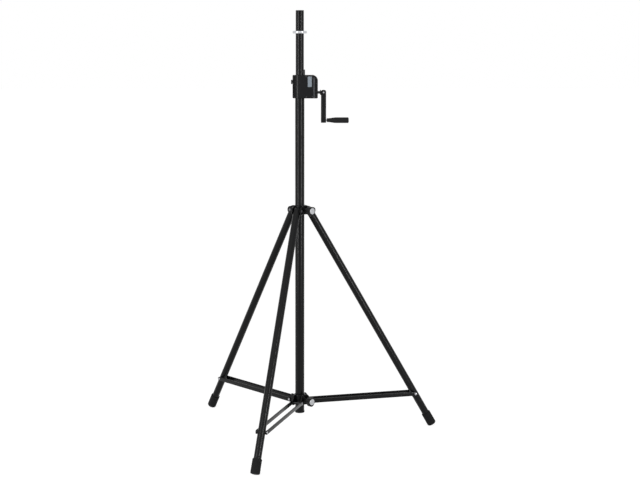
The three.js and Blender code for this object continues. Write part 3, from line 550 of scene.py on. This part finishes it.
low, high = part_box("crank_collar")
c0, c1 = (low.x - MAST[0]) / MM, (high.x - MAST[0]) / MM
c_r = (high.z - low.z) / 2 / MM
COLLAR_BORE = SHAFT + 0.3
collar_profile = softened([[COLLAR_BORE, c0], [c_r - 3, c0], [c_r, c0 + 1.2], [c_r, c1], [COLLAR_BORE, c1]],
                          [0.3, 1, 0.8, 0.4, 0.3])
piece("crank_collar_ring", [(on_crank(turned(collar_profile, 64)), RING)], PLASTIC, "crank", ["crank_collar"])

low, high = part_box("crank_arm")
a0, a1 = (low.x - MAST[0]) / MM, (high.x - MAST[0]) / MM
az0, az1 = low.z / MM, high.z / MM
arm_half = (high.y - low.y) / 2 / MM
ARM_X = (a0 + a1) / 2
CHANNEL_DEEP, CHANNEL_TOOL, CHANNEL_SIDE, CHANNEL_BELOW, CHANNEL_ABOVE = 1.2, 6, 4, 24, 22
arm_outline = rectangle(a0, a1, az0, az1, [3, 3, 9, 9], steps=8)
arm_block = plate(arm_outline, -CRANK_Y - arm_half, -CRANK_Y + arm_half, 1.6, 4)
arm = piece("crank_lever", [(facing_front(arm_block), ENDS)], CAST, "crank", ["crank_arm"])
channel = rectangle(a0 + CHANNEL_SIDE, a1 - CHANNEL_SIDE, az0 + CHANNEL_BELOW, az1 - CHANNEL_ABOVE, 3.5)
channels = [(facing_front(plate(channel, y0, y0 + CHANNEL_TOOL, 0.4)), ENDS)
            for y0 in (-CRANK_Y + arm_half - CHANNEL_DEEP, -CRANK_Y - arm_half - 4.8)]
cut_to_shape(arm, removed=channels, voxel=0.7, rounds=2)

low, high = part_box("crank_bolt")
reach = CRANK_Y - (low.y - MAST[1]) / MM
CROSS_SEAT, CROSS_HEAD, CROSS_NUT, CROSS_SHANK = 8.4, 4, 4.8, 3


def hexed(profile, sides=72):
    """A turned profile brought to six flats: the radius is r cos(30) / cos(a folded into 60 degrees)."""
    r, h = np.asarray(profile, float).T
    a = np.linspace(0, 2 * np.pi, sides, endpoint=False)
    flat = math.cos(math.pi / 6) / np.cos((a % (math.pi / 3)) - math.pi / 6)
    return np.stack([np.outer(r, flat * np.cos(a)), np.outer(r, flat * np.sin(a)),
                     np.outer(h, np.ones(sides))], -1)


def through_lever(loops):
    """Points made about Z are laid across the lever, at the crank's axis, with their Z to the front."""
    return placed(loops, [ARM_X, CRANK_Y, CRANK_Z], [0, -1, 0])


button = softened([[0, CROSS_SEAT], [CROSS_HEAD, CROSS_SEAT], [CROSS_HEAD, CROSS_SEAT + 0.8], [3, reach],
                   [0, reach]], [0, 0.2, 0.8, 0.8, 0], closed=False)
shank = [[0, -CROSS_SEAT], [CROSS_SHANK, -CROSS_SEAT], [CROSS_SHANK, CROSS_SEAT + 0.2], [0, CROSS_SEAT + 0.2]]
nut = softened([[0, -reach + 0.4], [CROSS_NUT, -reach + 0.4], [CROSS_NUT, -CROSS_SEAT], [0, -CROSS_SEAT]],
               [0, 0.5, 0.2, 0], closed=False)
piece("crank_cross_bolt", [(through_lever(turned(button, 48)), CAPPED),
                           (through_lever(turned(shank, 32)), CAPPED),
                           (through_lever(hexed(nut)), CAPPED)], STEEL, "crank", ["crank_bolt"])

low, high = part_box("grip_spindle")
s0, s1 = (low.x - MAST[0]) / MM, (high.x - MAST[0]) / MM
GRIP_DROP = CRANK_Z - (high.z + low.z) / 2 / MM
SPINDLE = 4
spindle = turned([[0, s0], [SPINDLE, s0], [SPINDLE, s1], [0, s1]], 40)
piece("crank_grip_spindle", [(on_crank(spindle, GRIP_DROP), CAPPED)], STEEL, "crank", ["grip_spindle"])

low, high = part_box("crank_grip")
g0, g1 = (low.x - MAST[0]) / MM, (high.x - MAST[0]) / MM
g_r = (high.z - low.z) / 2 / MM
GRIP_NECK, GRIP_SWELL, GRIP_TAIL = 8.4, 38, 5
FLUTES, FLUTE_DEPTH, FLUTES_FROM, FLUTES_END = 14, 0.45, 36, 9
GRIP_BORE = SPINDLE + 0.3


def grip_surface():
    """With t from 0 to 1 along the swell, the radius is neck + (full - neck) t t (3 - 2 t). The tail
    is rounded by a quarter circle, and flutes of depth (0.5 + 0.5 cos(14 a)) cubed fade in between."""
    round_end = g1 - GRIP_TAIL + GRIP_TAIL * np.sin(np.linspace(0.15, 1.5708, 12))
    x = np.concatenate([[g0, g0 + 0.4, g0 + 1.2], np.linspace(g0 + 3, g1 - GRIP_TAIL, 70), round_end])
    t = np.clip((x - g0 - 4) / GRIP_SWELL, 0, 1)
    r = GRIP_NECK + (g_r - GRIP_NECK) * t * t * (3 - 2 * t)
    r[0], r[1] = 7.2, 8.0
    tail = np.clip((x - (g1 - GRIP_TAIL)) / GRIP_TAIL, 0, 1)
    r = r - GRIP_TAIL * (1 - np.sqrt(np.clip(1 - tail**2, 0, 1)))
    a = np.linspace(0, 2 * np.pi, 112, endpoint=False)
    fade = np.clip((x - g0 - FLUTES_FROM) / 8, 0, 1) * np.clip((g1 - FLUTES_END - x) / 6, 0, 1)
    r = r[:, None] - FLUTE_DEPTH * fade[:, None] * (0.5 + 0.5 * np.cos(FLUTES * a))[None] ** 3
    outside = np.stack([r * np.cos(a), r * np.sin(a), np.repeat(x[:, None], len(a), 1)], -1)
    bore_end = g1 - 7
    bore_loops = turned([[0, bore_end], [GRIP_BORE, bore_end], [GRIP_BORE, g0], [5.5, g0]], 112)
    tip = outside[-1:] * np.array([0, 0, 1])
    return np.concatenate([bore_loops, outside, tip])


piece("crank_rubber_grip", [(on_crank(grip_surface(), GRIP_DROP), CAPPED)], GRIP, "grip", ["crank_grip"])


# ------------------------------------------------------------------ collars
# Two coated castings slide on the mast tube. Each is a ring with three pairs of cheeks, which hold
# the legs above and the struts below, and a boss that is tapped for the clamp screw.

AZIMUTHS = {}
for side in ("right", "back", "front"):
    axis = JOINTS[f"leg_{side}_hinge"]["axis"]
    AZIMUTHS[side] = math.atan2(-axis[0], axis[1])
BOSS_TURN = AZIMUTHS["right"] - math.radians(60)
COLLAR_RADIUS = 25
BOSS_RADIUS, BOSS_FROM, BOSS_END = 9, 21, 36
TAP_RADIUS, TAP_FROM, TAP_END = 4.3, 10, 60
CHEEK_ROOT, CHEEK_EDGE = 13, 2


def turned_about_mast(loops, angle):
    """Points are turned about Z: x becomes x cos - y sin, and y becomes x sin + y cos."""
    c, s = math.cos(angle), math.sin(angle)
    return np.asarray(loops) @ np.array([[c, s, 0], [-s, c, 0], [0, 0, 1]])


def on_boss(loops, middle):
    """Points made about Z are laid outwards from the mast along the clamp's boss, at one height."""
    return turned_about_mast(placed(loops, [0, 0, middle], [1, 0, 0]), BOSS_TURN)


def cheek(pivot_r, pivot_z, reach, bottom, top, y0, y1):
    """A lug: straight top and bottom edges that run into a half circle about the pivot."""
    a = np.linspace(-np.pi / 2, np.pi / 2, 25)
    nose = np.stack([pivot_r + reach * np.cos(a), pivot_z + reach * np.sin(a)], 1)
    edge = pivot_r - reach - CHEEK_EDGE
    outline = np.concatenate([[[CHEEK_ROOT, bottom], [edge, bottom]], nose, [[edge, top], [CHEEK_ROOT, top]]])
    return facing_front(plate(softened(outline, 1.5, steps=2), -y1, -y0, 1.0))


def collar(name, node, pivot_r, pivot_z, reach, cheek_in, cheek_out, pin):
    """A ring joined to a pair of cheeks at each leg's angle and to the clamp's boss, then bored for
    the tube, tapped along the boss, and drilled through each pair of cheeks."""
    low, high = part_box(node)
    bottom, top = low.z / MM, high.z / MM
    middle = (bottom + top) / 2
    inner = TUBE_RADIUS - 2
    wall = softened([[inner, bottom], [COLLAR_RADIUS, bottom], [COLLAR_RADIUS, top], [inner, top]],
                    [0.5, EASED, EASED, 0.5])
    shells = [(turned(wall), RING)]
    for angle in AZIMUTHS.values():
        for y0, y1 in ((cheek_in, cheek_out), (-cheek_out, -cheek_in)):
            lug = cheek(pivot_r, pivot_z, reach, bottom, top, y0, y1)
            shells.append((turned_about_mast(lug, angle), ENDS))
    boss = softened([[0, BOSS_FROM], [BOSS_RADIUS, BOSS_FROM], [BOSS_RADIUS, BOSS_END], [0, BOSS_END]],
                    [0, 0, 1.5, 0], closed=False)
    shells.append((on_boss(turned(boss, 64), middle), CAPPED))
    obj = piece(name, shells[:1], CAST, node, [node])
    tap = turned([[0, TAP_FROM], [TAP_RADIUS, TAP_FROM], [TAP_RADIUS, TAP_END], [0, TAP_END]], 40)
    drills = [(on_boss(tap, middle), CAPPED), (bore(TUBE_RADIUS + BORE_FIT, bottom, top), CAPPED)]
    for angle in AZIMUTHS.values():
        hole = turned([[0, -40], [pin, -40], [pin, 40], [0, 40]], 40)
        drills.append((turned_about_mast(placed(hole, [pivot_r, 0, pivot_z], [0, 1, 0]), angle), CAPPED))
    cut_to_shape(obj, shells[1:], drills, voxel=0.8, rounds=2)


LEG_PIVOT_R, LEG_PIVOT_Z = 41.5, 1001.0
STRUT_PIVOT_R, STRUT_PIVOT_Z = 45.0, 153.0
collar("upper_collar_casting", "upper_collar", LEG_PIVOT_R, LEG_PIVOT_Z,
       reach=16, cheek_in=16.3, cheek_out=20.7, pin=4.3)
collar("lower_collar_casting", "lower_collar", STRUT_PIVOT_R, STRUT_PIVOT_Z,
       reach=11, cheek_in=16.3, cheek_out=20.4, pin=3.3)


# ------------------------------------------------------------------ clamp knobs
# Each clamp is a plated screw with a three-lobed moulded knob and a plain pale disc pressed into its
# outer face.

DISC = finish("pale_pressed_disc", (0.6, 0.61, 0.63), 0.35, metallic=0.4, grain=240, bump=0.05, mottle=0.06)
KNOB_IN, KNOB_OUT, KNOB_R = 58.0, 79.0, 21.5
NECK_FROM, NECK_R, NECK_WIDE = 45, 10, 11.5
LOBES, LOBE_DEPTH, LOBE_SHARPNESS, LOBE_CORE = 3, 0.2, 1.2, 13.9
DISC_R, DISC_RECESS = 13.5, 1
SCREW_FROM, SCREW_R = 20.6, 4


def clamp(level, body, middle):
    """A knob, disc and screw on the boss. The knob's radius is r (1 - depth s w), where s grows from 0
    at its core to 1 at its rim and w is 0.5 - 0.5 cos(3 a + 270 degrees) to the power 1.2."""
    recess = KNOB_OUT - DISC_RECESS
    knob_body = softened([[0, NECK_FROM], [NECK_R, NECK_FROM], [NECK_WIDE, KNOB_IN], [KNOB_R, KNOB_IN],
                          [KNOB_R, KNOB_OUT], [DISC_R + 0.8, KNOB_OUT], [DISC_R + 0.3, recess], [0, recess]],
                         [0, 1, 2, 3, 4, 0.5, 0.2, 0], closed=False)
    r, h = knob_body.T
    a = np.linspace(0, 2 * np.pi, 144, endpoint=False)
    share = np.clip((r - LOBE_CORE) / (KNOB_R - LOBE_CORE), 0, 1)
    hollow = (0.5 - 0.5 * np.cos(LOBES * a + 1.5 * np.pi))[None] ** LOBE_SHARPNESS
    wave = 1 - LOBE_DEPTH * share[:, None] * hollow
    knob_loops = np.stack([r[:, None] * wave * np.cos(a), r[:, None] * wave * np.sin(a),
                           np.repeat(h[:, None], len(a), 1)], -1)
    seat = recess + 0.25
    disc = softened([[0, seat], [DISC_R, seat], [DISC_R, seat + 1.8], [DISC_R - 1.5, seat + 2.3],
                     [0, seat + 2.5]], [0, 0.2, 0.6, 0.8, 0], closed=False)
    screw = softened([[0, SCREW_FROM], [SCREW_R, SCREW_FROM], [SCREW_R, KNOB_IN], [0, KNOB_IN]],
                     [0, 0.6, 0.1, 0], closed=False)
    piece(f"{level}_knob", [(on_boss(knob_loops, middle), CAPPED)], PLASTIC, body, [f"{level}_clamp_knob"])
    piece(f"{level}_disc", [(on_boss(turned(disc), middle), CAPPED)], DISC, body, [f"{level}_knob_disc"])
    piece(f"{level}_screw", [(on_boss(turned(screw, 40), middle), CAPPED)], STEEL, body,
          [f"{level}_clamp_screw"])


for level in ("upper", "lower"):
    low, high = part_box(f"{level}_collar")
    clamp(level, f"{level}_knob", (low.z + high.z) / 2 / MM)


# ------------------------------------------------------------------ legs and feet
# Three 32 mm coated tubes hang from the upper collar on cross bolts. Each has a domed upper end, a
# boss on each side where its struts meet it, and a ribbed rubber foot.

DARK_ZINC = finish("dull_zinc_bolt", (0.15, 0.15, 0.155), 0.38, metallic=1.0, grain=500, bump=0.05,
                   mottle=0.15)
RUBBER = finish("black_rubber", (0.0075, 0.0075, 0.008), 0.75, grain=1500, bump=0.25, mottle=0.15)
SPREAD = math.radians(30.03)
LEG_R = 16.0
LEG_WALL = 1.5
LEG_BOLT = {"shank": 4, "head": 6.5, "seat": 20.95, "length": 3}
STRUT_ON_LEG = 975.0
BAR_MIDDLE, BAR_THICK = 22.2, 3.0
LEG_BOSS, LEG_BOSS_FROM, LEG_BOSS_END = 8, 12, BAR_MIDDLE - 1.8
FOOT_R, FOOT_LENGTH, FOOT_EDGE, FOOT_FLOOR = 20.0, 62.0, 6.0, 9
FOOT_BORE = LEG_R + 0.25
FOOT_RIBS, FOOT_RIB_STEP, FOOT_RIB_DEPTH = 4, 8, 0.7
foot_drop = FOOT_EDGE + (FOOT_R - FOOT_EDGE) * math.sin(SPREAD) - FOOT_EDGE * math.cos(SPREAD)
LEG_REACH = (LEG_PIVOT_Z - foot_drop) / math.cos(SPREAD)


def down_leg(loops, angle):
    """Points made about Z, measured down the leg from its hinge, put on the leg at `angle`."""
    line = [math.sin(SPREAD), 0, -math.cos(SPREAD)]
    outwards = [math.cos(SPREAD), 0, math.sin(SPREAD)]
    return turned_about_mast(placed(loops, [LEG_PIVOT_R, 0, LEG_PIVOT_Z], line, outwards), angle)


def across_hinge(loops, angle):
    """Points made about Z are laid along the hinge of the leg at `angle`."""
    return turned_about_mast(placed(loops, [LEG_PIVOT_R, 0, LEG_PIVOT_Z], [0, 1, 0]), angle)


def bolt(shank, head, seat, length):
    """A through bolt along Z: a shank from -seat to seat, and past each end a washer and a hexagon."""
    top = seat + length
    body = [(turned([[0, -seat], [shank, -seat], [shank, seat], [0, seat]], 40), CAPPED)]
    washer = softened([[0, seat], [head, seat], [head, seat + 0.8], [0, seat + 0.8]],
                      [0, 0.2, 0.3, 0], closed=False)
    head_profile = softened([[0, seat + 0.7], [head - 0.9, seat + 0.7], [head - 0.9, top - 0.5],
                             [head - 1.8, top], [0, top]], [0, 0.1, 0.5, 0.5, 0], closed=False)
    for end in (1, -1):
        flip = np.array([1, end, end])
        body += [(turned(washer, 48) * flip, CAPPED), (hexed(head_profile) * flip, CAPPED)]
    return body


for side, angle in AZIMUTHS.items():
    dome = np.linspace(0, np.pi / 2, 14)
    wall_end, inner = LEG_REACH - FOOT_FLOOR - 0.3, LEG_R - LEG_WALL
    profile = np.concatenate([np.stack([LEG_R * np.sin(dome), -LEG_R * np.cos(dome)], 1),
                              [[LEG_R, wall_end], [inner, wall_end], [inner, 20], [0, 20]]])
    shells = [(down_leg(turned(profile, 96), angle), CAPPED)]
    boss = softened([[0, LEG_BOSS_FROM], [LEG_BOSS, LEG_BOSS_FROM],
                     [LEG_BOSS, LEG_BOSS_END], [0, LEG_BOSS_END]], [0, 0, 0.5, 0], closed=False)
    for end in (1, -1):
        shells.append((down_leg(placed(turned(boss, 48), [0, 0, STRUT_ON_LEG], [0, end, 0]), angle), CAPPED))
    piece(f"leg_tube_{side}", shells, POWDER, f"leg_{side}", [f"leg_{side}"])

    top = LEG_REACH - FOOT_LENGTH
    rim = [[FOOT_BORE, top], [FOOT_R - 1.2, top], [FOOT_R, top + 2.5], [FOOT_R, top + 5]]
    for k in range(FOOT_RIBS):
        z = top + FOOT_RIB_STEP + FOOT_RIB_STEP * k
        waist = FOOT_R - FOOT_RIB_DEPTH
        rim += [[FOOT_R, z], [waist, z + 1], [waist, z + 3], [FOOT_R, z + 4]]
    socket = LEG_REACH - FOOT_FLOOR
    rim += [[FOOT_R, LEG_REACH], [0, LEG_REACH], [0, socket], [FOOT_BORE, socket]]
    radii = [0.3, 1, 1] + [0.5] * (len(rim) - 7) + [FOOT_EDGE, 0, 0, 0.3]
    foot_loops = turned(softened(rim, radii, steps=5), 96)
    piece(f"foot_cap_{side}", [(down_leg(foot_loops, angle), RING)], RUBBER, f"leg_{side}", [f"foot_{side}"])

    piece(f"leg_cross_bolt_{side}", [(across_hinge(loops, angle), how) for loops, how in bolt(**LEG_BOLT)],
          DARK_ZINC, "upper_collar", [f"leg_bolt_{side}"])


# ------------------------------------------------------------------ struts
# Each leg is held by two flat coated bars, one on each side, from the lower collar to the leg.
# Bright bolts go through their ends.

strut_end = np.array([LEG_PIVOT_R + STRUT_ON_LEG * math.sin(SPREAD),
                      LEG_PIVOT_Z - STRUT_ON_LEG * math.cos(SPREAD)])
strut_start = np.array([STRUT_PIVOT_R, STRUT_PIVOT_Z])
STRUT_LENGTH = float(np.linalg.norm(strut_end - strut_start))
STRUT_RUN = (strut_end - strut_start) / STRUT_LENGTH
BAR_HALF = 9.0
STRUT_SEAT = BAR_MIDDLE + BAR_THICK / 2 + 0.05
STRUT_PIN = {"shank": 3, "head": 5.5, "seat": STRUT_SEAT, "length": 2.6}


def on_strut(loops, angle):
    """A point (x, y, z) goes x along the strut from its collar pivot, y across it and z square to both."""
    along = [STRUT_RUN[0], 0, STRUT_RUN[1]]
    up = [-STRUT_RUN[1], 0, STRUT_RUN[0]]
    axes = np.array([along, [0, 1, 0], up])
    pivot = np.array([STRUT_PIVOT_R, 0, STRUT_PIVOT_Z])
    return turned_about_mast(np.asarray(loops) @ axes + pivot, angle)


def end_bolt():
    """A short bolt along Z through one bar: a shank, a washer and a hexagon nut, from the inside out."""
    inner, shank, washer, nut = BAR_MIDDLE - 1.2, 3, 5.5, 4.8
    seat, top = STRUT_SEAT, STRUT_SEAT + 2.6
    shank_profile = [[0, inner], [shank, inner], [shank, seat], [0, seat]]
    washer_profile = softened([[0, seat], [washer, seat], [washer, seat + 0.7], [0, seat + 0.7]],
                              [0, 0.2, 0.3, 0], closed=False)
    nut_profile = softened([[0, seat + 0.6], [nut, seat + 0.6], [nut, seat + 2.2], [nut - 1, top], [0, top]],
                           [0, 0.1, 0.4, 0.4, 0], closed=False)
    return [(turned(shank_profile, 32), CAPPED), (turned(washer_profile, 48), CAPPED),
            (hexed(nut_profile), CAPPED)]


for side, angle in AZIMUTHS.items():
    half = np.linspace(-np.pi / 2, np.pi / 2, 21)
    far = np.stack([STRUT_LENGTH + BAR_HALF * np.cos(half), BAR_HALF * np.sin(half)], 1)
    near = np.stack([-BAR_HALF * np.cos(half), -BAR_HALF * np.sin(half)], 1)
    for tag, y in (("a", -BAR_MIDDLE), ("b", BAR_MIDDLE)):
        bar = plate(np.concatenate([far, near]), -y - BAR_THICK / 2, -y + BAR_THICK / 2, 0.5)
        piece(f"strut_flat_{side}_{tag}", [(on_strut(facing_front(bar), angle), ENDS)], POWDER,
              f"strut_{side}", [f"strut_bar_{side}_{tag}"])
        end = 1 if y > 0 else -1
        shells = [(on_strut(placed(loops, [STRUT_LENGTH, 0, 0], [0, end, 0]), angle), how)
                  for loops, how in end_bolt()]
        piece(f"strut_end_bolt_{side}_{tag}", shells, STEEL, f"strut_{side}", [f"strut_bolt_{side}_{tag}"])
    shells = [(on_strut(placed(loops, [0, 0, 0], [0, 1, 0]), angle), how) for loops, how in bolt(**STRUT_PIN)]
    pin = piece(f"strut_inner_pin_{side}", shells, STEEL, f"strut_{side}", [f"strut_pin_{side}"])
    # Between the bars the pin's faces take the second, darker material: painted shade where the two bars
    # shade the shank.
    pin.data.materials.append(DARK_STEEL)
    across = np.array([-math.sin(angle), math.cos(angle), 0])
    for face_of_pin in pin.data.polygons:
        offset = (np.array(face_of_pin.center) - MAST) @ across / MM
        face_of_pin.material_index = int(abs(offset) < STRUT_SEAT - 0.1)


# ------------------------------------------------------------------ floor, light and camera
# A plain pale floor and backdrop, two tall soft boxes in front and a broad soft top light. The
# floor and backdrop glow white where they are seen, and light the stand far less.

FLOOR_HALF, FLOOR_ALBEDO, FLOOR_GLOW = 40.0, 0.3, 0.9
AMBIENT, BACKDROP = 0.16, 1.0
WHITE = (1, 1, 1, 1)


def light_ray_share(nodes, links):
    """The largest of three shares: 1 for rays that see the surface directly, in a mirror or through
    glass, else 0."""
    path = nodes.new("ShaderNodeLightPath")
    both = nodes.new("ShaderNodeMath")
    both.operation = "MAXIMUM"
    links.new(path.outputs["Is Camera Ray"], both.inputs[0])
    links.new(path.outputs["Is Glossy Ray"], both.inputs[1])
    more = nodes.new("ShaderNodeMath")
    more.operation = "MAXIMUM"
    links.new(both.outputs[0], more.inputs[0])
    links.new(path.outputs["Is Transmission Ray"], more.inputs[1])
    return more.outputs[0]


floor_mesh = bpy.data.meshes.new("studio_floor")
corners = [(FLOOR_HALF * x, FLOOR_HALF * y, 0) for x, y in ((-1, -1), (1, -1), (1, 1), (-1, 1))]
floor_mesh.from_pydata(corners, [], [(0, 1, 2, 3)])
floor = bpy.data.objects.new("studio_floor", floor_mesh)
bpy.context.scene.collection.objects.link(floor)
white = bpy.data.materials.new("pale_floor")
white.use_nodes = True
nodes, links = white.node_tree.nodes, white.node_tree.links
matt = nodes["Principled BSDF"]
matt.inputs["Base Color"].default_value = (FLOOR_ALBEDO, FLOOR_ALBEDO, FLOOR_ALBEDO, 1)
matt.inputs["Roughness"].default_value = 0.9
matt.inputs["Specular IOR Level"].default_value = 0.1
glow = nodes.new("ShaderNodeEmission")
glow.inputs["Color"].default_value = WHITE
glow.inputs["Strength"].default_value = FLOOR_GLOW
add = nodes.new("ShaderNodeAddShader")
mix = nodes.new("ShaderNodeMixShader")
links.new(matt.outputs[0], add.inputs[0])
links.new(glow.outputs[0], add.inputs[1])
links.new(light_ray_share(nodes, links), mix.inputs[0])
links.new(matt.outputs[0], mix.inputs[1])
links.new(add.outputs[0], mix.inputs[2])
links.new(mix.outputs[0], nodes["Material Output"].inputs["Surface"])
floor_mesh.materials.append(white)

world = bpy.data.worlds.new("studio")
bpy.context.scene.world = world
world.use_nodes = True
nodes, links = world.node_tree.nodes, world.node_tree.links
soft = nodes["Background"]
soft.inputs["Color"].default_value = WHITE
soft.inputs["Strength"].default_value = AMBIENT
bright = nodes.new("ShaderNodeBackground")
bright.inputs["Color"].default_value = WHITE
bright.inputs["Strength"].default_value = BACKDROP
blend_world = nodes.new("ShaderNodeMixShader")
links.new(light_ray_share(nodes, links), blend_world.inputs[0])
links.new(soft.outputs[0], blend_world.inputs[1])
links.new(bright.outputs[0], blend_world.inputs[2])
links.new(blend_world.outputs[0], nodes["World Output"].inputs["Surface"])


def soft_box(name, where, towards, width, height, power):
    """A rectangular lamp turned so that its -Z points along the line from `where` to `towards`."""
    data = bpy.data.lights.new(name, "AREA")
    data.shape, data.size, data.size_y, data.energy = "RECTANGLE", width, height, power
    lamp = bpy.data.objects.new(name, data)
    bpy.context.scene.collection.objects.link(lamp)
    lamp.location = where
    aim = np.asarray(towards, float) - np.asarray(where, float)
    flat = math.hypot(aim[0], aim[1])
    lamp.rotation_euler = (math.atan2(flat, -aim[2]), 0, math.atan2(-aim[0], aim[1]))


STAND_MIDDLE = (0, 0, 1.0)
soft_box("left_strip", (-3.1, -2.9, 1.2), STAND_MIDDLE, width=0.42, height=3.6, power=115)
soft_box("right_strip", (2.8, -3.1, 1.2), STAND_MIDDLE, width=0.26, height=3.6, power=100)
TOP_POWER, TOP_SPREAD, TOP_TILT, TOP_LEAN = 0.4, 60, 28, -14
sky = bpy.data.lights.new("broad_top", "SUN")
sky.energy, sky.angle = TOP_POWER, math.radians(TOP_SPREAD)
sun = bpy.data.objects.new("broad_top", sky)
bpy.context.scene.collection.objects.link(sun)
sun.rotation_euler = (math.radians(TOP_TILT), math.radians(TOP_LEAN), 0)

CAMERA_AWAY, CAMERA_HEIGHT, CAMERA_DOWN = 5.891, 1.748, 8.475
camera_data = bpy.data.cameras.new("camera")
camera_data.sensor_width = 36.0
camera_data.lens = 77.07
camera_data.shift_x = 0.0316
camera = bpy.data.objects.new("camera", camera_data)
bpy.context.scene.collection.objects.link(camera)
camera.location = (MAST[0], MAST[1] - CAMERA_AWAY, CAMERA_HEIGHT)
camera.rotation_euler = (math.radians(90 - CAMERA_DOWN), 0, 0)
bpy.context.scene.camera = camera
bpy.context.scene.view_settings.view_transform = "Standard"
